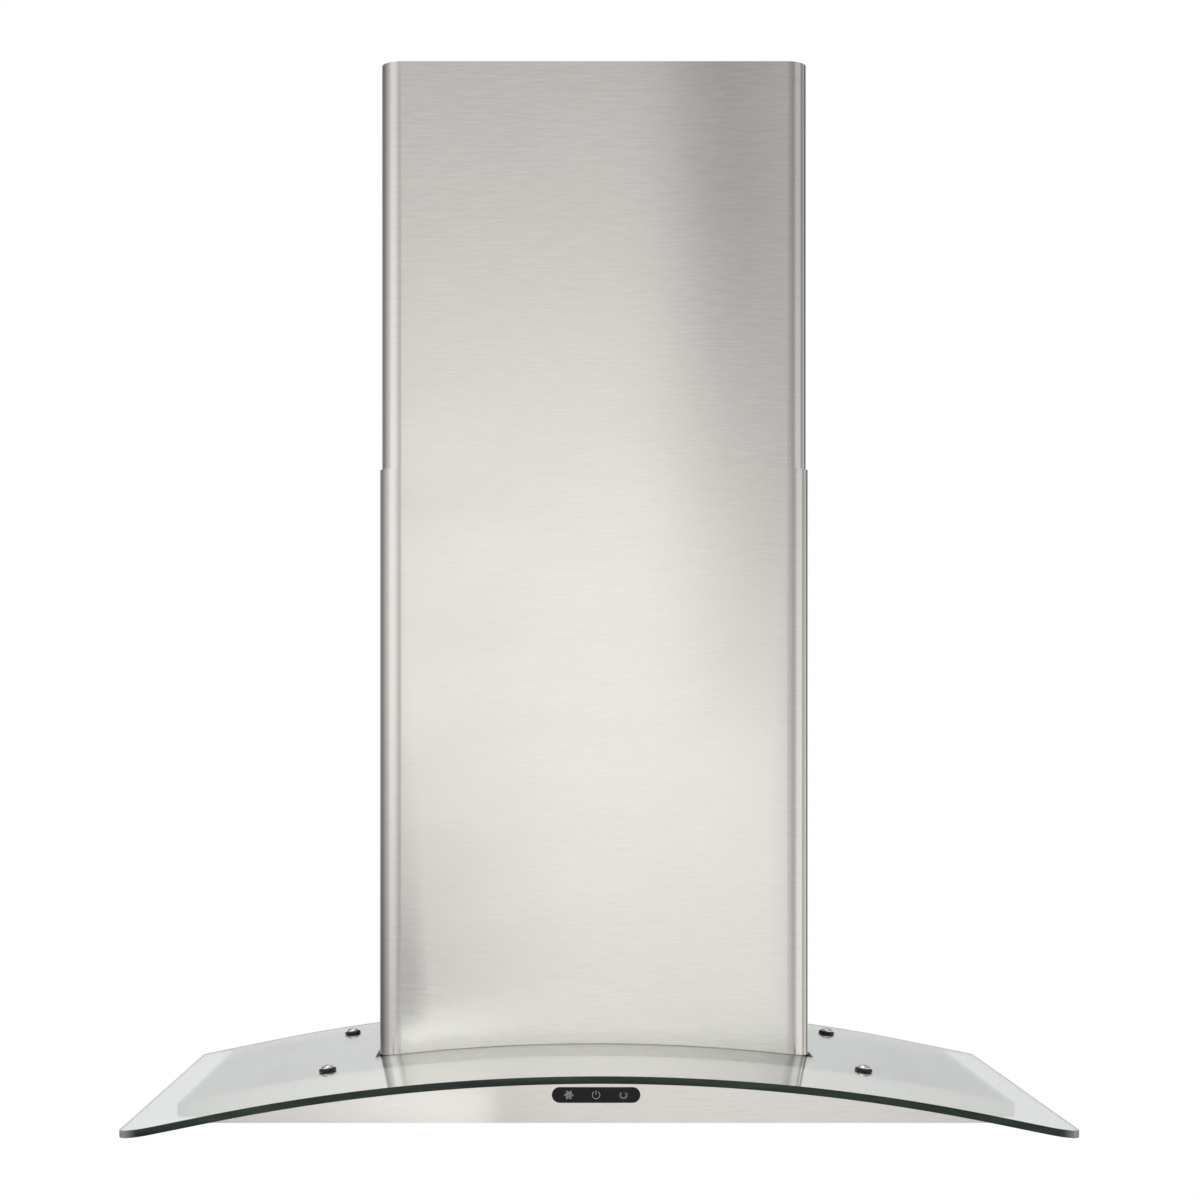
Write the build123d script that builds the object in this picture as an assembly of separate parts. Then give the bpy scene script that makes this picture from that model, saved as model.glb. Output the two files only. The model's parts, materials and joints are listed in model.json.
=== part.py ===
from build123d import *
import math
import os

# Wall-mounted cooker hood with a curved glass canopy and a telescopic flue.
# Millimetres.  X runs across the hood, Y towards the wall and Z up.  The origin is
# under the middle of the whole hood, on the plane of the body's flat underside.

# ---------------------------------------------------------------- driving dimensions

# How far a hole or cut is drawn past the face that it starts from
overcut = 1.0

# Glass canopy: one sheet bent to a single radius, with a flat wing at each end
glass_width = 760.0
glass_depth = 500.0
glass_thickness = 6.0
glass_bend_radius = 1540.0
glass_bend_half_width = 305.0
glass_front_corner = 30.0
glass_back_corner = 4.0
glass_arris = 0.7
glass_notch_clearance = 2.0
glass_notch_front_clearance = 1.0
glass_notch_corner = 4.0

# Fixings through the glass
glass_screw_spread = 452.0
glass_screw_front_inset = 160.0
glass_screw_back_inset = 70.0
glass_hole_radius = 4.0
sleeve_clearance = 0.1
sleeve_wall = 1.2
sleeve_flange_radius = 8.0
glass_gap = 1.0
washer_radius = 7.35
washer_thickness = 2.0
washer_chamfer = 0.5
glass_screw_radius = 2.5
glass_screw_head_radius = 5.0
glass_screw_head_height = 3.0
glass_screw_dome_radius = 3.0
glass_screw_dome_height = 2.55
screw_recess_length = 5.0
screw_recess_width = 1.2
screw_recess_depth = 1.5
nut_across_flats = 8.0
nut_height = 4.0
nut_play = 0.05
thread_end = 2.0

# Body: the steel tray under the glass
body_width = 700.0
body_front_setback = 140.0
body_height = 51.0
body_sheet = 1.0
body_flange = 12.0
intake_width = 300.0
intake_margin = 10.0

# Underside panel and its two filter openings
panel_step = 4.0
panel_rim_width = 11.0
panel_fit = 0.5
filter_opening_width = 300.0
filter_opening_depth = 265.0
filter_bar_width = 18.0
lamp_strip_depth = 76.0
panel_screw_radius = 2.0
panel_screw_head_radius = 4.0
panel_screw_length = 9.0
panel_screw_end_inset = 40.0
panel_hole_play = 0.1

# Touch control in the front face
control_width = 74.0
control_height = 13.0
control_centre_height = 23.5
control_proud = 0.5
control_thickness = 3.5
control_edge = 0.4
control_flange = 4.0
control_fit = 0.15
board_thickness = 1.6
board_overhang = 1.5
board_part_margin = 4.0
touch_chip_width = 16.0
touch_chip_height = 1.5
touch_socket_width = 10.0
touch_socket_depth = 5.0

# Lamps
lamp_spread = 430.0
lamp_front_inset = 41.0
lamp_bezel_radius = 26.0
lamp_bezel_thickness = 1.6
lamp_window_radius = 20.0
lamp_can_radius = 24.0
lamp_can_height = 19.0
lamp_can_wall = 0.8
lamp_collar_wall = 0.6
lamp_collar_height = 4.0
lamp_lens_thickness = 2.0
lamp_holder_radius = 7.0
lamp_holder_height = 8.0
lamp_capsule_radius = 4.5
lamp_capsule_height = 6.0

# Flue: two telescopic covers, each a sheet folded round three sides
flue_width = 374.5
flue_depth = 290.0
flue_corner = 20.0
flue_sheet = 1.0
flue_lip = 12.0
flue_slide_gap = 0.75
lower_flue_length = 506.5
upper_flue_length = 430.0
flue_overlap = 76.5
flue_screw_radius = 2.0
flue_screw_head_radius = 3.8
flue_screw_head_height = 1.9
flue_screw_end = 3.0

# Clips that hold the lower flue to the airbox
clip_sheet = 1.2
clip_height = 30.0
clip_length = 30.0
clip_rise = 36.0
clip_wall_inset = 25.0

# Bracket that holds the upper flue to the wall
bracket_sheet = 1.5
bracket_height = 25.0
bracket_top_inset = 6.0
bracket_wing = 30.0
bracket_joggle_run = 10.0
bracket_foot_half_width = 140.0
bracket_hole_spacing = 200.0
bracket_hole_radius = 3.0
bracket_screw_inset = 12.0

# Airbox: the sheet box on the body that carries the blower and hangs on the wall
airbox_width = 320.0
airbox_depth = 274.0
airbox_height = 269.0
airbox_sheet = 1.0
airbox_flange = 12.0
airbox_lid_lip = 10.0
airbox_screw_inset = 55.0
wall_bolt_spacing_x = 240.0
wall_bolt_spacing_z = 180.0
wall_bolt_rise = 150.0
wall_bolt_hole_radius = 4.0
box_screw_radius = 2.0
box_screw_head_radius = 3.6
box_screw_head_height = 1.8
box_screw_length = 8.0

# Outlet collar and its two damper flaps
collar_radius = 75.0
collar_height = 60.0
collar_sheet = 1.0
collar_flange_half_width = 88.0
collar_flange_corner = 10.0
outlet_screw_spacing = 110.0
damper_pin_radius = 2.0
damper_pin_rise = 14.0
damper_pin_play = 0.06
damper_flap_thickness = 1.0
damper_edge_gap = 1.5
damper_knuckle_radius = 3.2
damper_knuckle_length = 28.0
damper_knuckle_gap = 4.0
damper_stop_gap = 0.4
damper_stop_height = 1.5
damper_stop_width = 3.0

# Blower: a double-inlet wheel with forward-curved blades in a spiral case
wheel_radius = 80.0
wheel_half_width = 63.0
wheel_blade_depth = 14.0
wheel_blade_curve = 9.5
wheel_blade_thickness = 0.9
wheel_blade_count = 32
wheel_blade_steps = 3
wheel_ring_thickness = 1.6
wheel_disc_thickness = 1.6
wheel_hub_radius = 12.0
wheel_hub_length = 20.0
scroll_half_width = 70.0
scroll_sheet = 1.0
scroll_tongue_gap = 7.0
scroll_tongue_radius = 10.0
scroll_step = 14.0
scroll_front_gap = 3.0
scroll_floor_gap = 8.0
scroll_flange = 12.0
inlet_radius = 62.0
inlet_curl = 9.0
inlet_curl_steps = 3

# Motor inside the left-hand inlet
motor_radius = 36.0
motor_length = 64.0
motor_disc_gap = 14.0
motor_boss_radius = 11.0
motor_boss_length = 3.0
motor_chamfer = 4.0
shaft_radius = 4.0
shaft_play = 0.05
shaft_depth = 42.0
bracket_plate = 2.0
bracket_disc_radius = 30.0
bracket_arm_width = 14.0
bracket_pad_radius = 7.0
bracket_pad_inset = 8.0
bush_radius = 5.0

# Control box on the airbox lid
box_width = 60.0
box_length = 150.0
box_height = 45.0
box_sheet = 1.0
box_side_inset = 5.0
box_back_inset = 40.0
box_stud_radius = 2.0
box_stud_height = 4.0
main_board_width = 48.0
main_board_length = 104.0
main_board_back_inset = 8.0
transformer_width = 18.0
transformer_length = 26.0
transformer_height = 20.0
transformer_inset = 6.0
relay_width = 16.0
relay_length = 18.0
relay_height = 15.0
relay_inset = 8.0
capacitor_radius = 12.0
capacitor_length = 46.0
capacitor_edge = 1.0
terminal_inset = 2.0
terminal_width = 22.0
terminal_length = 34.0
terminal_height = 15.0
cable_hole_radius = 8.0
cable_hole_inset = 16.0
grommet_bore_radius = 5.0
grommet_radius = 10.0
grommet_neck_radius = 8.0
grommet_lip = 2.0

# Cables inside the hood, and where their routes run
thin_cable_radius = 1.2
motor_cable_radius = 2.0
cable_side_count = 6
cable_bend = 5.0
cable_spacing = 2.8
cable_rows_middle = 1.2
motor_cable_offset = 5.6
cable_side_gap = 15.0
cable_side_pitch = 3.0
cable_front_gap = 22.0
cable_front_pitch = 6.0
cable_approach = 14.0
cable_lift = 40.0
cable_top_drop = 40.0
cable_hole_drop = 30.0
touch_cable_lead = 22.0
lamp_cable_rise = 6.0
lamp_cable_crossing = 60.0
lamp_cable_set_back = 12.0
motor_cable_rise = 8.0
motor_cable_side = 30.0
motor_cable_front = 45.0
motor_cable_drop = 20.0

# Grease filters, with a sprung catch on the front edge of each
filter_fit = 1.5
filter_thickness = 9.0
filter_bottom = 2.5
filter_sheet = 0.8
filter_rail = 10.0
filter_face_thickness = 0.8
filter_pleat_thickness = 0.5
filter_pleat_pitch = 12.0
filter_tab_width = 30.0
filter_tab_spacing = 200.0
filter_tab_reach = 7.0
filter_tab_thickness = 1.0
filter_tab_gap = 0.3
catch_pocket_width = 40.0
catch_pocket_depth = 34.0
catch_width = 24.0
catch_length = 16.0
catch_play = 0.4
catch_nose_width = 18.0
catch_nose_height = 4.0
catch_nose_reach = 4.0
catch_nose_round = 1.6
catch_travel = 5.0
catch_grip_width = 16.0
catch_grip_thickness = 3.0
catch_grip_drop = 1.3
spring_radius = 2.5
spring_wall = 0.6

# ---------------------------------------------------------------- places worked out

wall_y = glass_depth / 2
glass_front_y = -glass_depth / 2
body_front_y = glass_front_y + body_front_setback
body_half = body_width / 2
glass_crown = body_height + glass_gap
bend_centre_z = glass_crown - glass_bend_radius
bend_angle = math.asin(glass_bend_half_width / glass_bend_radius)
glass_screw_places = [
    (side * glass_screw_spread / 2, y)
    for y in (glass_front_y + glass_screw_front_inset, wall_y - glass_screw_back_inset)
    for side in (-1, 1)
]

flue_front_y = wall_y - flue_depth
lower_flue_half = flue_width / 2
lower_flue_top = body_height + lower_flue_length
upper_flue_inset = flue_sheet + flue_slide_gap
upper_flue_half = lower_flue_half - upper_flue_inset
upper_flue_bottom = lower_flue_top - flue_overlap
upper_flue_top = upper_flue_bottom + upper_flue_length
upper_flue_back_y = wall_y - upper_flue_inset

airbox_half = airbox_width / 2
airbox_front_y = wall_y - airbox_depth
airbox_top = body_height + airbox_height
airbox_lid_underside = airbox_top - airbox_sheet

scroll_start = wheel_radius + scroll_tongue_gap
scroll_outer_front = scroll_start + scroll_step + scroll_sheet
wheel_y = airbox_front_y + airbox_sheet + scroll_front_gap + scroll_outer_front
wheel_z = body_height + scroll_floor_gap + scroll_sheet + scroll_start + 2 * scroll_step
throat_front_y = wheel_y - scroll_step / 2 + scroll_tongue_radius
throat_back_y = wheel_y + scroll_start + 3 * scroll_step
tongue_z = wheel_z + scroll_start + scroll_tongue_radius
collar_y = (throat_front_y + throat_back_y) / 2
collar_floor = airbox_top + collar_sheet
collar_top = collar_floor + collar_height
damper_z = collar_floor + damper_pin_rise

panel_rim_bottom = body_sheet
panel_bottom = panel_rim_bottom + panel_step
panel_top = panel_bottom + body_sheet
filter_front_y = body_front_y + lamp_strip_depth
filter_back_y = filter_front_y + filter_opening_depth
filter_centre_x = (filter_bar_width + filter_opening_width) / 2
filter_top = filter_bottom + filter_thickness
filter_pivot_z = panel_top + filter_tab_gap
lamp_y = body_front_y + lamp_front_inset

box_x_high = airbox_half - box_side_inset
box_x_low = box_x_high - box_width
box_y_high = wall_y - box_back_inset
box_y_low = box_y_high - box_length
cable_hole_x = (box_x_low + box_x_high) / 2
cable_hole_y = box_y_low + cable_hole_inset
board_z = airbox_top + box_sheet + box_stud_height
board_y_high = box_y_high - main_board_back_inset
board_y_low = board_y_high - main_board_length

# ---------------------------------------------------------------- small helpers


def block(x_low, x_high, y_low, y_high, z_low, z_high):
    """Rectangular solid between two corners."""
    centre = Pos((x_low + x_high) / 2, (y_low + y_high) / 2, (z_low + z_high) / 2)
    return centre * Box(x_high - x_low, y_high - y_low, z_high - z_low)


def rod_x(radius, x_low, x_high, y, z):
    """Round bar along X."""
    return Pos((x_low + x_high) / 2, y, z) * Rot(0, 90, 0) * Cylinder(radius, x_high - x_low)


def rod_y(radius, y_low, y_high, x, z):
    """Round bar along Y."""
    return Pos(x, (y_low + y_high) / 2, z) * Rot(-90, 0, 0) * Cylinder(radius, y_high - y_low)


def rod_z(radius, z_low, z_high, x=0.0, y=0.0):
    """Round bar along Z."""
    return Pos(x, y, (z_low + z_high) / 2) * Cylinder(radius, z_high - z_low)


def along_x(face, x_low, x_high):
    """Solid from a face drawn in Y and Z."""
    return extrude(Plane.YZ.offset(x_low) * face, amount=x_high - x_low)


def along_y(face, y_low, y_high):
    """Solid from a face drawn in X and Z."""
    return extrude(Plane.XZ.offset(-y_low) * face, amount=y_low - y_high)


def along_z(face, z_low, z_high):
    """Solid from a face drawn in X and Y."""
    return extrude(Plane.XY.offset(z_low) * face, amount=z_high - z_low)


def face_inside(*curves):
    """Flat face bounded by curves that join end to end."""
    return make_face([edge for curve in curves for edge in curve.edges()])


def group(pieces):
    """Several separate solids kept as one sub-part."""
    return Compound(children=list(pieces))


def rounded_plan(half_width, y_low, y_high, front_radius, back_radius):
    """Rectangle in X and Y with one radius at its front corners and one at its back."""
    plan = Pos(0, (y_low + y_high) / 2) * Rectangle(2 * half_width, y_high - y_low)
    if back_radius > 0:
        plan = fillet(plan.vertices().group_by(Axis.Y)[-1], back_radius)
    if front_radius > 0:
        plan = fillet(plan.vertices().group_by(Axis.Y)[0], front_radius)
    return plan


def screw(shank_radius, length, head_radius, head_height):
    """Cheese-head screw on Z, its head above the origin and its shank below."""
    head = rod_z(head_radius, 0, head_height)
    head = chamfer(head.edges().group_by(Axis.Z)[-1], head_height / 3)
    return head + rod_z(shank_radius, -length, 0)


# ---------------------------------------------------------------- the canopy's curve


def canopy_height(offset, x):
    """Height at x of the glass's underside, moved outwards by offset."""
    radius = glass_bend_radius + offset
    run_out = radius * math.sin(bend_angle)
    if abs(x) <= run_out:
        return bend_centre_z + math.sqrt(radius**2 - x**2)
    bend_end = bend_centre_z + radius * math.cos(bend_angle)
    return bend_end - (abs(x) - run_out) * math.tan(bend_angle)


def canopy_curve(offset, half_width):
    """Curves across the hood in X and Z: an arc, and a flat wing at each end."""
    run_out = (glass_bend_radius + offset) * math.sin(bend_angle)
    reach = min(half_width, run_out)
    arc = ThreePointArc(
        (-reach, canopy_height(offset, reach)),
        (0, canopy_height(offset, 0)),
        (reach, canopy_height(offset, reach)),
    )
    if half_width <= run_out:
        return [arc]
    end_height = canopy_height(offset, half_width)
    return [
        Line((-half_width, end_height), arc @ 0),
        arc,
        Line(arc @ 1, (half_width, end_height)),
    ]


def under_canopy(offset, half_width, floor):
    """Face between a level floor and the canopy's curve."""
    end_height = canopy_height(offset, half_width)
    sides = Polyline(
        (-half_width, end_height),
        (-half_width, floor),
        (half_width, floor),
        (half_width, end_height),
    )
    return face_inside(*canopy_curve(offset, half_width), sides)


def canopy_strip(low, high, half_width):
    """Face between two offsets of the canopy's curve."""
    ends = [
        Line(
            (side * half_width, canopy_height(low, half_width)),
            (side * half_width, canopy_height(high, half_width)),
        )
        for side in (-1, 1)
    ]
    low_curve = canopy_curve(low, half_width)
    high_curve = canopy_curve(high, half_width)
    return face_inside(*low_curve, *high_curve, *ends)


def canopy_plane(x, y):
    """Plane on the glass's underside at (x, y), its Z square to the curve."""
    limit = math.sin(bend_angle)
    sine = max(-limit, min(limit, x / glass_bend_radius))
    cosine = math.sqrt(1 - sine**2)
    return Plane(
        origin=(x, y, canopy_height(0, x)),
        x_dir=(cosine, 0, -sine),
        z_dir=(sine, 0, cosine),
    )


# ---------------------------------------------------------------- glass and its fixings


def make_glass_canopy():
    """Bent sheet with rounded corners, a notch round the flue and four holes."""
    sheet = along_y(canopy_strip(0, glass_thickness, glass_width / 2), glass_front_y, wall_y)
    plan = rounded_plan(
        glass_width / 2, glass_front_y, wall_y, glass_front_corner, glass_back_corner
    )
    notch_half = lower_flue_half + glass_notch_clearance
    notch_front = flue_front_y - glass_notch_front_clearance
    overrun = 2 * glass_notch_corner
    notch = rounded_plan(notch_half, notch_front, wall_y + overrun, glass_notch_corner, 0)
    height = glass_crown + 2 * glass_thickness
    glass = sheet & along_z(plan - notch, 0, height)
    front_rim = glass.edges().filter_by(
        lambda edge: edge.center().Y < glass_front_y + glass_front_corner
        and abs(edge.tangent_at(0.5).Z) < 0.9
    )
    glass = chamfer(front_rim, glass_arris)
    for x, y in glass_screw_places:
        drill = rod_z(glass_hole_radius, -glass_thickness, 2 * glass_thickness)
        glass -= canopy_plane(x, y) * drill
    return glass


def bend_drop(radius):
    """How far the bent glass falls away from a flat disc of this radius."""
    return radius**2 / (2 * glass_bend_radius)


def make_glass_sleeve():
    """Flanged sleeve that lines a glass hole and keeps the glass off the steel."""
    outer = glass_hole_radius - sleeve_clearance
    bore = outer - sleeve_wall
    sleeve = rod_z(outer, -glass_gap, glass_thickness)
    sleeve += rod_z(sleeve_flange_radius, -glass_gap, -bend_drop(sleeve_flange_radius))
    return sleeve - rod_z(bore, -2 * glass_gap, 2 * glass_thickness)


def make_glass_washer():
    """Rubber washer under the screw head."""
    top = glass_thickness + washer_thickness
    washer = rod_z(washer_radius, glass_thickness, top)
    washer = chamfer(washer.edges().group_by(Axis.Z)[-1], washer_chamfer)
    return washer - rod_z(glass_screw_radius, 0, 2 * top)


def make_glass_screw():
    """Pan-head screw through washer, glass and body, with a cross recess."""
    seat = glass_thickness + washer_thickness
    tip = -glass_gap - body_sheet - nut_height - thread_end
    edge_height = glass_screw_head_height / 3
    profile = face_inside(
        Line((0, 0), (glass_screw_head_radius, 0)),
        Line((glass_screw_head_radius, 0), (glass_screw_head_radius, edge_height)),
        ThreePointArc(
            (glass_screw_head_radius, edge_height),
            (glass_screw_dome_radius, glass_screw_dome_height),
            (0, glass_screw_head_height),
        ),
        Line((0, glass_screw_head_height), (0, 0)),
    )
    head = revolve(Plane.XZ * profile, axis=Axis.Z)
    top = Pos(0, 0, glass_screw_head_height)
    head -= top * Box(screw_recess_length, screw_recess_width, 2 * screw_recess_depth)
    head -= top * Box(screw_recess_width, screw_recess_length, 2 * screw_recess_depth)
    return Pos(0, 0, seat) * head + rod_z(glass_screw_radius, tip, seat)


def make_glass_nut():
    """Hexagon nut under the body's top sheet."""
    top = -glass_gap - body_sheet - bend_drop(nut_across_flats / math.sqrt(3))
    hexagon = RegularPolygon(nut_across_flats / 2, 6, major_radius=False)
    nut = along_z(hexagon, top - nut_height, top)
    return nut - rod_z(glass_screw_radius + nut_play, top - 2 * nut_height, top + nut_height)


def at_glass_screws(piece):
    """One copy of a piece at each fixing, square to the glass there."""
    return group(canopy_plane(x, y) * piece for x, y in glass_screw_places)


# ---------------------------------------------------------------- body


def make_body_shell():
    """Front, sides and curved top in one folded sheet, with an in-turned bottom flange."""
    outer = along_y(under_canopy(-glass_gap, body_half, 0), body_front_y, wall_y)
    hollow_face = under_canopy(-glass_gap - body_sheet, body_half - body_sheet, -body_sheet)
    shell = outer - along_y(hollow_face, body_front_y + body_sheet, wall_y + body_sheet)
    rim = block(-body_half, body_half, body_front_y, wall_y, 0, body_sheet)
    inner_half = body_half - body_flange
    rim -= block(
        -inner_half,
        inner_half,
        body_front_y + body_flange,
        wall_y + body_sheet,
        -body_sheet,
        2 * body_sheet,
    )
    shell += rim & block(-body_half, body_half, body_front_y, wall_y - body_sheet, 0, body_sheet)
    shell -= block(
        -intake_width / 2,
        intake_width / 2,
        airbox_front_y + intake_margin,
        wall_y - intake_margin,
        body_height / 2,
        2 * body_height,
    )
    window = Pos(0, control_centre_height) * SlotOverall(
        control_width + 2 * control_fit, control_height + 2 * control_fit
    )
    shell -= along_y(window, body_front_y - body_sheet, body_front_y + 2 * body_sheet)
    for x, y in glass_screw_places:
        drill = rod_z(glass_hole_radius - sleeve_clearance - sleeve_wall, -body_height / 4, 0)
        shell -= canopy_plane(x, y) * drill
    for x, y in panel_screw_places():
        shell -= panel_screw_cone(x, y, panel_hole_play)
    return shell


def make_body_back():
    """Back sheet that closes the body against the wall, with a bottom flange."""
    half = body_half - body_sheet
    face = under_canopy(-glass_gap - body_sheet, half, 0)
    back = along_y(face, wall_y - body_sheet, wall_y)
    flange_half = body_half - body_flange
    flange = block(
        -flange_half, flange_half, wall_y - body_flange, wall_y - body_sheet, 0, body_sheet
    )
    back += flange
    for x, y in panel_screw_places():
        back -= panel_screw_cone(x, y, panel_hole_play)
    return back


# ---------------------------------------------------------------- underside panel


def panel_screw_places():
    """Countersunk screws along the front and back rims of the underside panel."""
    end_x = body_half - panel_screw_end_inset
    rim_middle = (body_sheet + body_flange) / 2
    return [
        (x, y)
        for y in (body_front_y + rim_middle, wall_y - rim_middle)
        for x in (-end_x, 0.0, end_x)
    ]


def panel_screw_cone(x, y, play):
    """Countersunk head that passes through the body's flange and the panel's rim."""
    depth = 2 * body_sheet
    cone = Cone(panel_screw_head_radius + play, panel_screw_radius + play, depth)
    return Pos(x, y, depth / 2) * cone


def make_bottom_panel():
    """Pressed panel over the body's open underside: rim, step, field and openings."""
    rim_half = body_half - body_sheet - panel_fit
    rim_front = body_front_y + body_sheet + panel_fit
    rim_back = wall_y - body_sheet - panel_fit
    field_half = rim_half - panel_rim_width
    field_front = rim_front + panel_rim_width
    field_back = rim_back - panel_rim_width
    rim_top = panel_rim_bottom + body_sheet
    panel = block(-rim_half, rim_half, rim_front, rim_back, panel_rim_bottom, rim_top)
    panel += block(-field_half, field_half, field_front, field_back, panel_rim_bottom, panel_top)
    panel -= block(
        -field_half + body_sheet,
        field_half - body_sheet,
        field_front + body_sheet,
        field_back - body_sheet,
        0,
        panel_bottom,
    )
    for side in (-1, 1):
        centre = side * filter_centre_x
        panel -= block(
            centre - filter_opening_width / 2,
            centre + filter_opening_width / 2,
            filter_front_y,
            filter_back_y,
            0,
            2 * panel_top,
        )
        notch_half = catch_nose_width / 2 + filter_fit / 2
        notch_front = filter_front_y + filter_fit - catch_nose_reach - filter_fit / 2
        panel -= block(
            centre - notch_half,
            centre + notch_half,
            notch_front,
            filter_front_y + overcut,
            0,
            2 * panel_top,
        )
        lamp_hole = lamp_can_radius + lamp_collar_wall
        panel -= rod_z(lamp_hole, 0, 2 * panel_top, side * lamp_spread / 2, lamp_y)
    for x, y in panel_screw_places():
        panel -= panel_screw_cone(x, y, panel_hole_play)
    return panel


def make_bottom_panel_screws():
    """Six countersunk screws, flush with the hood's underside."""
    pieces = []
    for x, y in panel_screw_places():
        shank = rod_z(panel_screw_radius, 2 * body_sheet, panel_screw_length, x, y)
        pieces.append(panel_screw_cone(x, y, 0.0) + shank)
    return group(pieces)


# ---------------------------------------------------------------- touch control


def make_control_panel():
    """Pill-shaped glossy touch plate, with a flange behind the front sheet."""
    front = body_front_y - control_proud
    back = front + control_thickness
    plate = along_y(
        Pos(0, control_centre_height) * SlotOverall(control_width, control_height), front, back
    )
    plate = chamfer(plate.edges().group_by(Axis.Y)[0], control_edge)
    flange_face = Pos(0, control_centre_height) * SlotOverall(
        control_width + 2 * control_flange, control_height + 2 * control_flange
    )
    return plate + along_y(flange_face, body_front_y + body_sheet, back)


def make_touch_board():
    """Circuit board behind the touch plate, with its controller and cable socket."""
    front = body_front_y - control_proud + control_thickness
    back = front + board_thickness
    half = control_width / 2 + board_overhang
    low = control_centre_height - control_height / 2 - board_overhang
    high = control_centre_height + control_height / 2 + board_overhang
    board = block(-half, half, front, back, low, high)
    low += board_part_margin
    high -= board_part_margin
    chip_half = touch_chip_width / 2
    chip = block(-chip_half, chip_half, back, back + touch_chip_height, low, high)
    socket_end = half - board_part_margin
    socket_start = socket_end - touch_socket_width
    socket = block(socket_start, socket_end, back, back + touch_socket_depth, low, high)
    return board + chip + socket


# ---------------------------------------------------------------- lamps


def lamp_ring(profile_points, side):
    """Solid of revolution on a lamp's axis, from points (radius, height)."""
    outline = Polyline(*profile_points, close=True)
    ring = revolve(Plane.XZ * face_inside(outline), axis=Axis.Z)
    return Pos(side * lamp_spread / 2, lamp_y, 0) * ring


def make_lamp_bezel(side):
    """Trim ring under the panel, with a collar up through the panel's hole."""
    low = panel_bottom - lamp_bezel_thickness
    top = panel_bottom + lamp_collar_height
    collar = lamp_can_radius + lamp_collar_wall
    points = [
        (lamp_window_radius, low + lamp_bezel_thickness / 2),
        (lamp_window_radius + lamp_bezel_thickness / 2, low),
        (lamp_bezel_radius - lamp_bezel_thickness / 2, low),
        (lamp_bezel_radius, panel_bottom),
        (collar, panel_bottom),
        (collar, top),
        (lamp_can_radius, top),
        (lamp_can_radius, panel_bottom),
        (lamp_window_radius, panel_bottom),
    ]
    return lamp_ring(points, side)


def make_lamp_can(side):
    """Drawn cup over the lamp, open downwards."""
    top = panel_bottom + lamp_can_height
    inner = lamp_can_radius - lamp_can_wall
    points = [
        (0, top),
        (lamp_can_radius, top),
        (lamp_can_radius, panel_bottom),
        (inner, panel_bottom),
        (inner, top - lamp_can_wall),
        (0, top - lamp_can_wall),
    ]
    return lamp_ring(points, side)


def make_lamp_lens(side):
    """Frosted disc that lies on the bezel's inner edge."""
    inner = lamp_can_radius - lamp_can_wall
    x = side * lamp_spread / 2
    return rod_z(inner, panel_bottom, panel_bottom + lamp_lens_thickness, x, lamp_y)


def make_lamp_bulb(side):
    """Ceramic holder in the can's crown, with the capsule lamp below it."""
    top = panel_bottom + lamp_can_height - lamp_can_wall
    low = top - lamp_holder_height
    x = side * lamp_spread / 2
    holder = rod_z(lamp_holder_radius, low, top, x, lamp_y)
    return holder + rod_z(lamp_capsule_radius, low - lamp_capsule_height, low, x, lamp_y)


# ---------------------------------------------------------------- flue


def flue_section(half_width, front_y, back_y, corner):
    """Sheet folded round the front and sides, with a lip turned in at each back edge."""
    overrun = 2 * flue_sheet
    outer = rounded_plan(half_width, front_y, back_y, corner, 0)
    inner = rounded_plan(
        half_width - flue_sheet,
        front_y + flue_sheet,
        back_y - flue_sheet,
        corner - flue_sheet,
        0,
    )
    gap_half = half_width - flue_lip
    gap = Pos(0, back_y) * Rectangle(2 * gap_half, 2 * overrun)
    return outer - inner - gap


def make_lower_flue():
    """Lower flue cover, its foot cut to stand on the curved top of the body."""
    section = flue_section(lower_flue_half, flue_front_y, wall_y, flue_corner)
    flue = along_z(section, 0, lower_flue_top)
    below = under_canopy(-glass_gap, lower_flue_half + flue_sheet, -body_height)
    flue -= along_y(below, flue_front_y - flue_sheet, wall_y + flue_sheet)
    for side in (-1, 1):
        flue -= clip_screw_hole(side)
    return flue


def make_upper_flue():
    """Upper flue cover, which slides inside the lower one."""
    section = flue_section(
        upper_flue_half,
        flue_front_y + upper_flue_inset,
        upper_flue_back_y,
        flue_corner - upper_flue_inset,
    )
    flue = along_z(section, upper_flue_bottom, upper_flue_top)
    low = upper_flue_half - flue_sheet - overcut
    high = upper_flue_half + overcut
    for side in (-1, 1):
        ends = sorted((side * low, side * high))
        flue -= rod_x(flue_screw_radius, *ends, bracket_screw_y(), bracket_screw_z())
    return flue


# ---------------------------------------------------------------- flue fixings


def clip_place():
    """Y and Z of the middle of each lower flue clip's screw."""
    y = wall_y - clip_wall_inset - clip_length / 2
    z = body_height + clip_rise + clip_height / 2
    return y, z


def clip_screw_hole(side):
    """Clearance hole through the lower flue's side and its clip."""
    y, z = clip_place()
    inner_end = lower_flue_half - flue_sheet - clip_sheet - overcut
    ends = sorted((side * inner_end, side * (lower_flue_half + overcut)))
    return rod_x(flue_screw_radius, *ends, y, z)


def make_flue_clips():
    """Two U-shaped clips from the airbox's sides to the inside of the lower flue."""
    y, z = clip_place()
    outer = lower_flue_half - flue_sheet
    low = z - clip_height / 2
    high = z + clip_height / 2
    outline = Polyline(
        (airbox_half, high),
        (airbox_half, low),
        (outer, low),
        (outer, high),
        (outer - clip_sheet, high),
        (outer - clip_sheet, low + clip_sheet),
        (airbox_half + clip_sheet, low + clip_sheet),
        (airbox_half + clip_sheet, high),
        close=True,
    )
    right = along_y(face_inside(outline), y - clip_length / 2, y + clip_length / 2)
    pieces = []
    for side, clip in ((1, right), (-1, mirror(right, about=Plane.YZ))):
        pieces.append(clip - clip_screw_hole(side))
    return group(pieces)


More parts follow.
